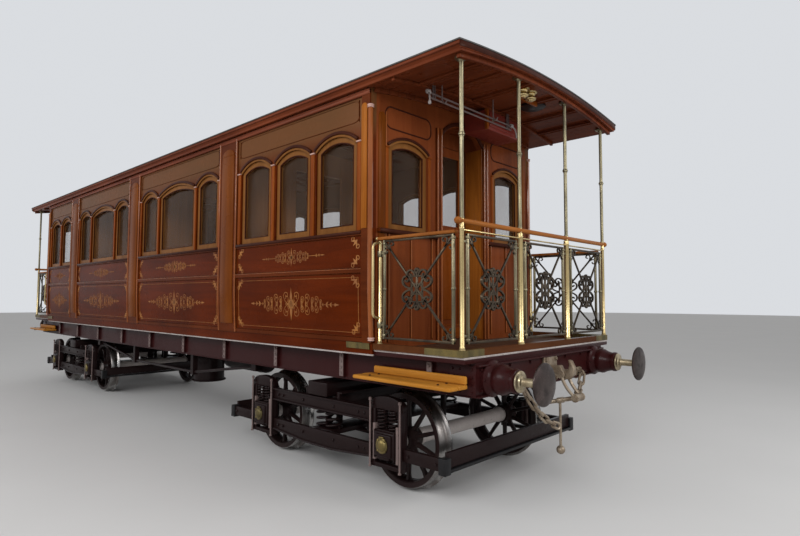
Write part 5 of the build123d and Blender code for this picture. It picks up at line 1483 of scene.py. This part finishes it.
def bogie_middle():
    """Transoms, spring plank, stirrups, bolster, pivot and end rails between the sides."""
    pieces, dark = [], []
    for way in (-1, 1):
        inner, outer, lip = way * 0.210, way * 0.250, way * 0.284
        pieces.append(slab("transom", (inner, -0.974, flange + 0.540), (outer, 0.974, flange + 0.740), 0.005))
        for z in (flange + 0.540, flange + 0.726):
            pieces.append(slab("transom_lip", (outer, -0.974, z), (lip, 0.974, z + 0.014)))
        for y in (-0.560, 0.560):
            leg = (inner, y - 0.030, flange + 0.300)
            pieces.append(slab("stirrup_leg", leg, (outer, y + 0.030, flange + 0.545), 0.006))
        web, foot, tip = way * 1.486, way * 1.470, way * 1.541
        pieces.append(slab("end_rail", (web, -0.976, flange + 0.318), (way * 1.522, 0.976, flange + 0.438), 0.006))
        dark.append(slab("end_rail_foot", (foot, -0.976, flange + 0.288), (tip, 0.976, flange + 0.312), 0.005))
        for hand in (-1, 1):
            plate = (foot, hand * 0.962, flange + 0.274)
            dark.append(slab("end_plate", plate, (tip, hand * 1.036, flange + 0.402), 0.007))
    for y in (-0.560, 0.560):
        pieces.append(slab("stirrup", (-0.250, y - 0.030, flange + 0.300), (0.250, y + 0.030, flange + 0.331), 0.008))
        bearer = (-0.080, y - 0.080, flange + 0.816)
        pieces.append(slab("side_bearer", bearer, (0.080, y + 0.080, flange + 0.885), 0.010))
    pieces.append(slab("spring_plank", (-0.140, -0.974, flange + 0.330), (0.140, 0.974, flange + 0.376), 0.008))
    pieces.append(slab("bolster", (-0.140, -1.036, flange + 0.688), (0.140, 1.036, flange + 0.818), 0.012, 3))
    pieces.append(turned("pivot", (
        (0, 0.842), (0.150, 0.842), (0.150, 0.870), (0.140, 0.880), (0.140, 0.905), (0.150, 0.912), (0.150, 0.919),
        (0, 0.919),
    ), 40))
    return joined(pieces), joined(dark)


def axlebox():
    """Axlebox at +Y with its spring seat, about the axle's line at x = 0, and its brass lid."""
    low, high = axle_height - 0.105, axle_height + 0.105
    body = [
        slab("box", (-0.116, 0.902, low), (0.116, 1.060, high), 0.014, 3),
        slab("box_front", (-0.094, 1.050, low + 0.012), (0.094, 1.077, high - 0.016), 0.010, 3),
        slab("oil_box", (-0.070, 0.960, low - 0.012), (0.070, 1.070, low + 0.020), 0.010, 3),
        slab("spring_seat", (-0.118, 0.955, high - 0.002), (0.118, 1.045, high + 0.012), 0.004),
    ]
    for x in (-0.113, 0.113):
        body.append(slab("slipper", (x - 0.006, 0.945, low - 0.010), (x + 0.006, 1.056, high + 0.010)))
    lid = turned("lid", (
        (0, 0), (0.064, 0), (0.064, 0.010), (0.056, 0.014), (0.050, 0.013), (0.046, 0.018), (0.028, 0.025),
        (0.012, 0.027), (0, 0.027),
    ))
    reach = 0.056 * math.sqrt(0.5)
    brass = [
        placed(lid, (0, 1.074, axle_height), lay_y),
        slab("lid_hinge", (-0.026, 1.074, axle_height + 0.056), (0.026, 1.092, axle_height + 0.074), 0.005),
        bolts(0.009, [(x, 1.084, axle_height + z) for x in (-reach, reach) for z in (-reach, reach)]),
    ]
    return joined(body), joined(brass)


def bogies():
    """Both bogies' frames, edges, guides and axleboxes."""
    side, guides = bogie_sides()
    middle, edges = bogie_middle()
    corners = [flip @ at(x, 0, 0) for x in (-half_wheelbase, half_wheelbase) for flip in (Matrix(), mirror_y)]
    box, lid = (spread([piece], corners) for piece in axlebox())
    parts = (
        ("bogie_frame_paint", joined([both_sides(side), middle]), bogie_paint, "bogie_frame"),
        ("bogie_edges", edges, edge_black, None), ("bogie_guides", both_sides(guides), guide_paint, None),
        ("axlebox_shells", box, bogie_paint, "axleboxes"), ("axlebox_lids", lid, plate_brass, "axleboxes"),
    )
    for end, way in ends:
        for name, piece, finish, node in parts:
            replaces = (f"{node}_{end}",) if node else ()
            made(f"{name}_{end}", copied(piece, at(way * bogie_x, 0, 0)), finish, f"bogie_{end}", replaces)
    gone(*(row[1] for row in parts))


def brake_cylinder():
    """Round brake cylinder and air reservoir with their flanges, bolts and hangers."""
    foot, tank_z = flange + 0.440, flange + 0.640
    turns = [math.tau * i / 12 for i in range(12)]
    spots = [at(0.217 * math.cos(turn), 0.217 * math.sin(turn), 0.322) for turn in turns]
    cylinder = joined([turned("cylinder", (
        (0, 0), (0.222, 0), (0.230, 0.008), (0.230, 0.016), (0.206, 0.022), (0.204, 0.296), (0.229, 0.304),
        (0.229, 0.324), (0.222, 0.330), (0, 0.330),
    ), 48), spread([bolt_head(0.009)], spots)])
    tank = turned("tank", even((
        (0.170, 0.370), (0.1735, 0.372), (0.1735, 0.398), (0.170, 0.400), (0.170, 0.500), (0.166, 0.520),
        (0.146, 0.548), (0.110, 0.560), (0, 0.560),
    )), 48)
    parts = [placed(cylinder, (0.330, -0.420, foot)), placed(tank, (0, 0.420, tank_z), lay_x)]
    for x, y, low in (
        (0.210, -0.330, foot + 0.320), (0.450, -0.330, foot + 0.320), (-0.400, 0.330, tank_z), (0.400, 0.330, tank_z)
    ):
        parts.append(slab("hanger", (x - 0.030, y - 0.011, low), (x + 0.030, y + 0.011, solebar_top - 0.100), 0.004))
    made("brake_cylinder", joined(parts), bogie_paint, replaces=("brake_gear",))


def gate_rails():
    """Wooden top rails of the side gates with their brass ends."""
    lap = Vector((0, 0.0015, 0.0015))
    for end, way in ends:
        for side, _ in hands:
            node, body = f"gate_rail_{end}_{side}", f"side_gate_{end}_{side}"
            low, high = (Vector(corner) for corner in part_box(node))
            wood = slab(f"gate_rail_wood_{end}_{side}", low, high, 0.010, 3)
            made(f"gate_rail_wood_{end}_{side}", wood, rail_wood, body, (node,))
            inner = low.x if way > 0 else high.x - 0.034
            low, high = low - lap, high + lap
            low.x, high.x = inner - 0.001, inner + 0.035
            made(f"gate_rail_cap_{end}_{side}", slab("cap", low, high, 0.010, 3), old_brass, body)


def frame_trim():
    """White lines, knee straps and rivets on the solebars and headstocks."""
    top, end = solebar_top, headstock_x
    line, cover = top + 0.032, top + 0.001
    made("white_lines", joined([
        four_corners(slab("platform_line", (body_x, 1.184, line), (end + 0.005, 1.192, line + 0.014), 0.002)),
        both_ends(slab("end_line", (end - 0.001, -1.190, line), (end + 0.006, 1.190, line + 0.014), 0.002)),
        both_sides(slab("body_line", (-body_x, 1.186, top - 0.006), (body_x, 1.203, top + 0.008), 0.002)),
    ]), white_paint)
    straps, spots = [], []
    for i in range(10):
        x = end - 0.410 - 1.020 * i
        straps.append(slab("knee_strap", (x - 0.024, 1.080, top - 0.226), (x + 0.024, 1.0885, top - 0.022), 0.002))
        spots += [(x, 1.088, top - z) for z in (0.050, 0.096, 0.150, 0.200)]
    made("knee_straps", both_sides(*straps, bolts(0.011, spots)), guide_paint)
    rivets = [(end - x, 1.0605, top - z) for x in (0.205, 0.140, 0.030) for z in (0.050, 0.105, 0.160, 0.215)]
    face = [(end + 0.001, y, top - z) for y in (-0.990, -0.600, -0.300, 0.300, 0.600, 0.990) for z in (0.050, 0.205)]
    made("frame_plates", joined([
        four_corners(
            slab("corner_angle", (end - 0.230, 1.054, top - 0.236), (end + 0.004, 1.0605, top - 0.020), 0.002),
            bolts(0.0085, rivets),
        ),
        both_ends(*(
            slab("head_lip", (end - 0.004, -1.050, z), (end + 0.030, 1.050, z + 0.014), 0.004)
            for z in (top - 0.030, top - 0.250)
        ), bolts(0.012, face, "X")),
        both_sides(*(
            slab("solebar_lip", (0.05 - end, 1.052, z - 0.010), (end - 0.05, 1.066, z))
            for z in (top - 0.242, top - 0.014)
        )),
        four_corners(slab("floor_cover", (body_x, 1.183, cover), (end + 0.003, 1.190, line + 0.001), 0.001)),
        both_ends(slab("floor_end", (end - 0.001, -1.188, cover), (end + 0.004, 1.188, line + 0.001), 0.001)),
    ]), maroon)


def step_boards():
    """Yellow step boards on their painted brackets."""
    back, x0, x1 = 1.091, pole_x - 1.020, pole_x - 0.018
    low = flange + 0.958
    top = low + 0.030
    brackets = (x0 + 0.150, x1 - 0.150)
    made("step_boards", four_corners(
        slab("tread", (x0, back + 0.002, low), (x1, back + 0.102, top), 0.008, 3),
        slab("tread_nosing", (x0, back + 0.106, low), (x1, 1.300, top), 0.012, 4),
        slab("step_back", (x0 + 0.060, back, top), (x1, back + 0.030, low + 0.092), 0.014, 4),
    ), step_wood, replaces=("steps",))
    iron = [spread([bolt_head(0.009)], [at(x, y, low + 0.029) for x in brackets for y in (back + 0.055, 1.245)])]
    for x in brackets:
        iron.append(slab("step_drop", (x - 0.025, 1.057, low - 0.018), (x + 0.025, back + 0.001, low + 0.092), 0.004))
        iron.append(slab("step_arm", (x - 0.025, back - 0.002, low - 0.018), (x + 0.025, 1.260, low + 0.001), 0.004))
    made("step_irons", four_corners(*iron), maroon, replaces=("steps",))


def draw_hook():
    """Draw hook on its plate, with the screw coupling folded back under the headstock."""
    face, z = headstock_x, flange + 1.010
    rows = (
        (0.0, -0.034), (0.096, -0.034), (0.140, -0.072), (0.196, -0.072), (0.236, -0.030), (0.240, 0.028),
        (0.212, 0.084), (0.186, 0.092), (0.196, 0.044), (0.186, 0.008), (0.160, -0.006), (0.136, 0.006),
        (0.118, 0.040), (0.084, 0.036), (0.0, 0.034),
    )
    corners = [(face + 0.022, y, z + up) for y in (-0.082, 0.082) for up in (-0.082, 0.082)]
    made("draw_hooks", both_ends(
        board("hook", [(face + x, -0.025, z + up) for x, up in rows], (0, 0.050, 0), 0.009, 3),
        slab("hook_plate", (face - 0.001, -0.110, z - 0.110), (face + 0.022, 0.110, z + 0.110), 0.006),
        bolts(0.014, corners, "X"),
    ), bare_iron, replaces=("couplings",))
    pin_x, pin_z = face + 0.138, z - 0.032
    node_x, node_z = face + 0.261, flange + 0.800
    fold, reach = math.radians(75), 0.330
    foot_x, foot_z = node_x - reach * math.sin(fold), node_z - reach * math.cos(fold)
    links = []
    for y in (-0.052, 0.052):
        bar = ((pin_x, y, pin_z), (pin_x + 0.045, y * 1.15, pin_z - 0.095), (node_x, y, node_z))
        links.append(rail("link", bar, 0.0135, 0.045, steps=5))
        for x, up in ((pin_x, pin_z), (node_x, node_z)):
            eye = ringed("link_eye", even(((0.034, 0.007), (0.031, 0.011), (0.016, 0.011))), 24)
            links.append(placed(eye, (x, y, up), lay_y))
    pin = turned("pin", even(((0.018, 0.066), (0.026, 0.068), (0.026, 0.078), (0, 0.078))), 20)
    links.append(placed(pin, (pin_x, 0, pin_z), lay_y))
    for x, up, size in ((node_x, node_z, 0.031), (foot_x, foot_z, 0.025)):
        nut = ((size * 0.98, 0.036), (size * 0.66, 0.040), (size * 0.62, 0.074), (0, 0.074))
        links.append(placed(turned("trunnion", even(nut), 24), (x, 0, up), lay_y))
    rows = [(0, -reach - 0.010)]
    threads = 26
    for i in range(threads):
        up = 0.010 - reach + (reach - 0.020) * i / threads
        wide = 0.0155 if abs(i - threads / 2) > 2 else 0.021
        rows += [(wide, up), (wide + 0.0035, up + 0.005)]
    rows += [(0.0155, -0.008), (0, 0.006)]
    links.append(placed(turned("screw", rows, 16), (node_x, 0, node_z), (0, fold, 0)))
    lever_x, ball_z, ball_size = (node_x + foot_x) / 2, flange + 0.352, 0.036
    links.append(rail("lever", ((lever_x, 0, (node_z + foot_z) / 2), (lever_x, 0, ball_z)), 0.011))
    turns = [math.pi * i / 12 for i in range(13)]
    ball = turned("ball", [(ball_size * math.sin(turn), -ball_size * math.cos(turn)) for turn in turns], 24)
    links.append(placed(ball, (lever_x, 0, ball_z)))
    made("screw_couplings", both_ends(*links), bare_iron, replaces=("couplings",))


def chain(start, finish, count, sag=0.060):
    """Round links from an eye to the chain's end, each turned a quarter from the last."""
    start, finish = Vector(start), Vector(finish)
    spots = []
    for i in range(count + 1):
        share = i / count
        spots.append(start.lerp(finish, share) - Vector((0, 0, sag * 4 * share * (1 - share))))
    wire, wide = 0.0115, 0.022
    turns = [math.tau * k / 12 for k in range(12)]
    links = []
    for i, (here, there) in enumerate(zip(spots, spots[1:])):
        span = there - here
        half = span.length / 2 + wire - wide
        oval = [(wide * math.cos(a), 0, wide * math.sin(a) + (half if math.sin(a) >= 0 else -half)) for a in turns]
        link = rail("link", oval, wire, closed=True, sides=2)
        turn = span.to_track_quat("Z", "Y").to_matrix().to_4x4() @ Matrix.Rotation(math.pi / 2 * (i % 2), 4, "Z")
        link.data.transform(at(*(here + there) / 2) @ turn)
        links.append(link)
    return joined(links)


def chains():
    """Side chains with their eye plates, at both ends."""
    face, up = headstock_x, flange + 0.930
    plate_x, eye_x = face + 0.016, face + 0.064
    pieces = []
    for y, finish_y, finish_z, count in ((-0.520, -0.120, 0.570, 6), (0.520, 0.190, 0.800, 4)):
        eye = ringed("eye", even(((0.030, 0.005), (0.026, 0.010), (0.014, 0.010))), 24)
        spots = [(plate_x, y + out, up + rise) for out in (-0.036, 0.036) for rise in (-0.036, 0.036)]
        pieces += [
            slab("eye_plate", (face - 0.001, y - 0.050, up - 0.050), (plate_x, y + 0.050, up + 0.050), 0.005),
            bolts(0.010, spots, "X"), placed(eye, (eye_x - 0.020, y, up), lay_y),
            slab("eye_shank", (face + 0.014, y - 0.010, up - 0.012), (face + 0.034, y + 0.010, up + 0.012), 0.004),
            chain((eye_x - 0.010, y, up - 0.012), (face + 0.150, finish_y, flange + finish_z), count),
        ]
    made("side_chain_links", both_ends(*pieces), bare_iron, replaces=("side_chains",))


def buffers():
    """Turned housings, heads and stems of the four buffers."""
    bolt = turned("bolt", ((0, 0.010), (0.009, 0.010), (0.012, 0.006), (0.012, 0), (0, 0)), 6)
    housing = joined([ringed("housing", (
        (0.034, 0.060), (0.034, 0.236), (0.078, 0.236), (0.086, 0.231), (0.088, 0.222), (0.088, 0.206), (0.083, 0.200),
        (0.086, 0.180), (0.094, 0.150), (0.102, 0.132), (0.110, 0.118), (0.113, 0.100), (0.111, 0.080), (0.104, 0.062),
        (0.108, 0.048), (0.118, 0.034), (0.132, 0.026), (0.135, 0.022), (0.135, 0), (0.060, 0), (0.060, 0.060),
    ), 48), spread([bolt], around(6, at(0.122, 0, 0.026)))])
    head = turned("head", (
        (0, 0.419), (0.030, 0.419), (0.034, 0.412), (0.050, 0.418), (0.120, 0.422), (0.145, 0.426), (0.150, 0.432),
        (0.150, 0.438), (0.146, 0.443), (0.130, 0.4475), (0.100, 0.4515), (0.060, 0.4540), (0.030, 0.4548), (0, 0.455),
    ), 56)
    stem = turned("stem", (
        (0, 0.080), (0.030, 0.080), (0.030, 0.237), (0.070, 0.237), (0.077, 0.240), (0.079, 0.246), (0.077, 0.252),
        (0.068, 0.256), (0.052, 0.258), (0.046, 0.268), (0.034, 0.272), (0.031, 0.276), (0.030, 0.421), (0, 0.421),
    ), 40)
    for name, piece, finish, replaces, smooth in (
        ("buffer_housings_turned", housing, maroon, ("buffer_housings",), sharp),
        ("buffer_discs", head, buffer_steel, ("buffer_heads",), sharp), ("buffer_stems", stem, ring_metal, (), 40),
    ):
        placed(piece, (headstock_x, buffer_y, buffer_z), lay_x)
        made(name, four_corners(piece), finish, replaces=replaces, smooth=smooth)


bogies()
brake_cylinder()
gate_rails()
frame_trim()
step_boards()
draw_hook()
chains()
buffers()


# Bench cushions


def cushion(name, low, high, axis, way):
    """Cushion with rounded edges, swollen on the side that faces along an axis and sign."""
    piece = slab(name, low, high, 0.040, 4)
    edit(piece)
    pick(piece, "faces", lambda f: f.normal[axis] * way > 0.99)
    bpy.ops.mesh.inset(thickness=0.035)
    bpy.ops.mesh.inset(thickness=0.060)
    bpy.ops.transform.translate(value=[way * 0.014 if i == axis else 0 for i in range(3)])
    rest()
    return piece


def bench_cushions():
    """Padded seats and buttoned backs of the benches."""
    wall_thick, door_thick, door_reach, spare = 0.060, 0.040, 0.636, 0.060
    wall = body_y - wall_thick - 0.0003
    half_pier = (pilaster - 0.036) / 2
    sweep = door_x - door_thick - door_reach - spare
    button = turned("button", ((0, -0.006), (0.014, -0.006), (0.016, 0), (0.011, 0.006), (0, 0.008)), 12)
    placed(button, turn=lay_back)
    parts, spots = [], []
    for left, right in bays:
        x0 = max(left - half_pier + spare, -sweep)
        x1 = min(right + half_pier - spare, sweep)
        count = max(2, round((x1 - x0) / 0.55))
        width = (x1 - x0) / count
        for i in range(count):
            a, b = x0 + width * i + 0.003, x0 + width * (i + 1) - 0.003
            seat = ((a, wall - 0.515, floor_top + 0.300), (b, wall - 0.100, floor_top + 0.424))
            back = ((a, wall - 0.125, floor_top + 0.440), (b, wall - 0.020, floor_top + 0.876))
            parts += [cushion("seat", *seat, 2, 1), cushion("back", *back, 1, -1)]
            for share in (0.25, 0.5, 0.75):
                spots += [at(a + width * share, wall - 0.137, floor_top + z) for z in (0.560, 0.660, 0.760)]
        front = (x0 + 0.010, wall - 0.480, floor_top)
        parts.append(slab("front", front, (x1 - 0.010, wall - 0.004, floor_top + 0.302), 0.006))
    whole = both_sides(*parts, spread([button], spots))
    made("bench_seats", whole, bench_leather, replaces=("benches",), smooth=50)


bench_cushions()
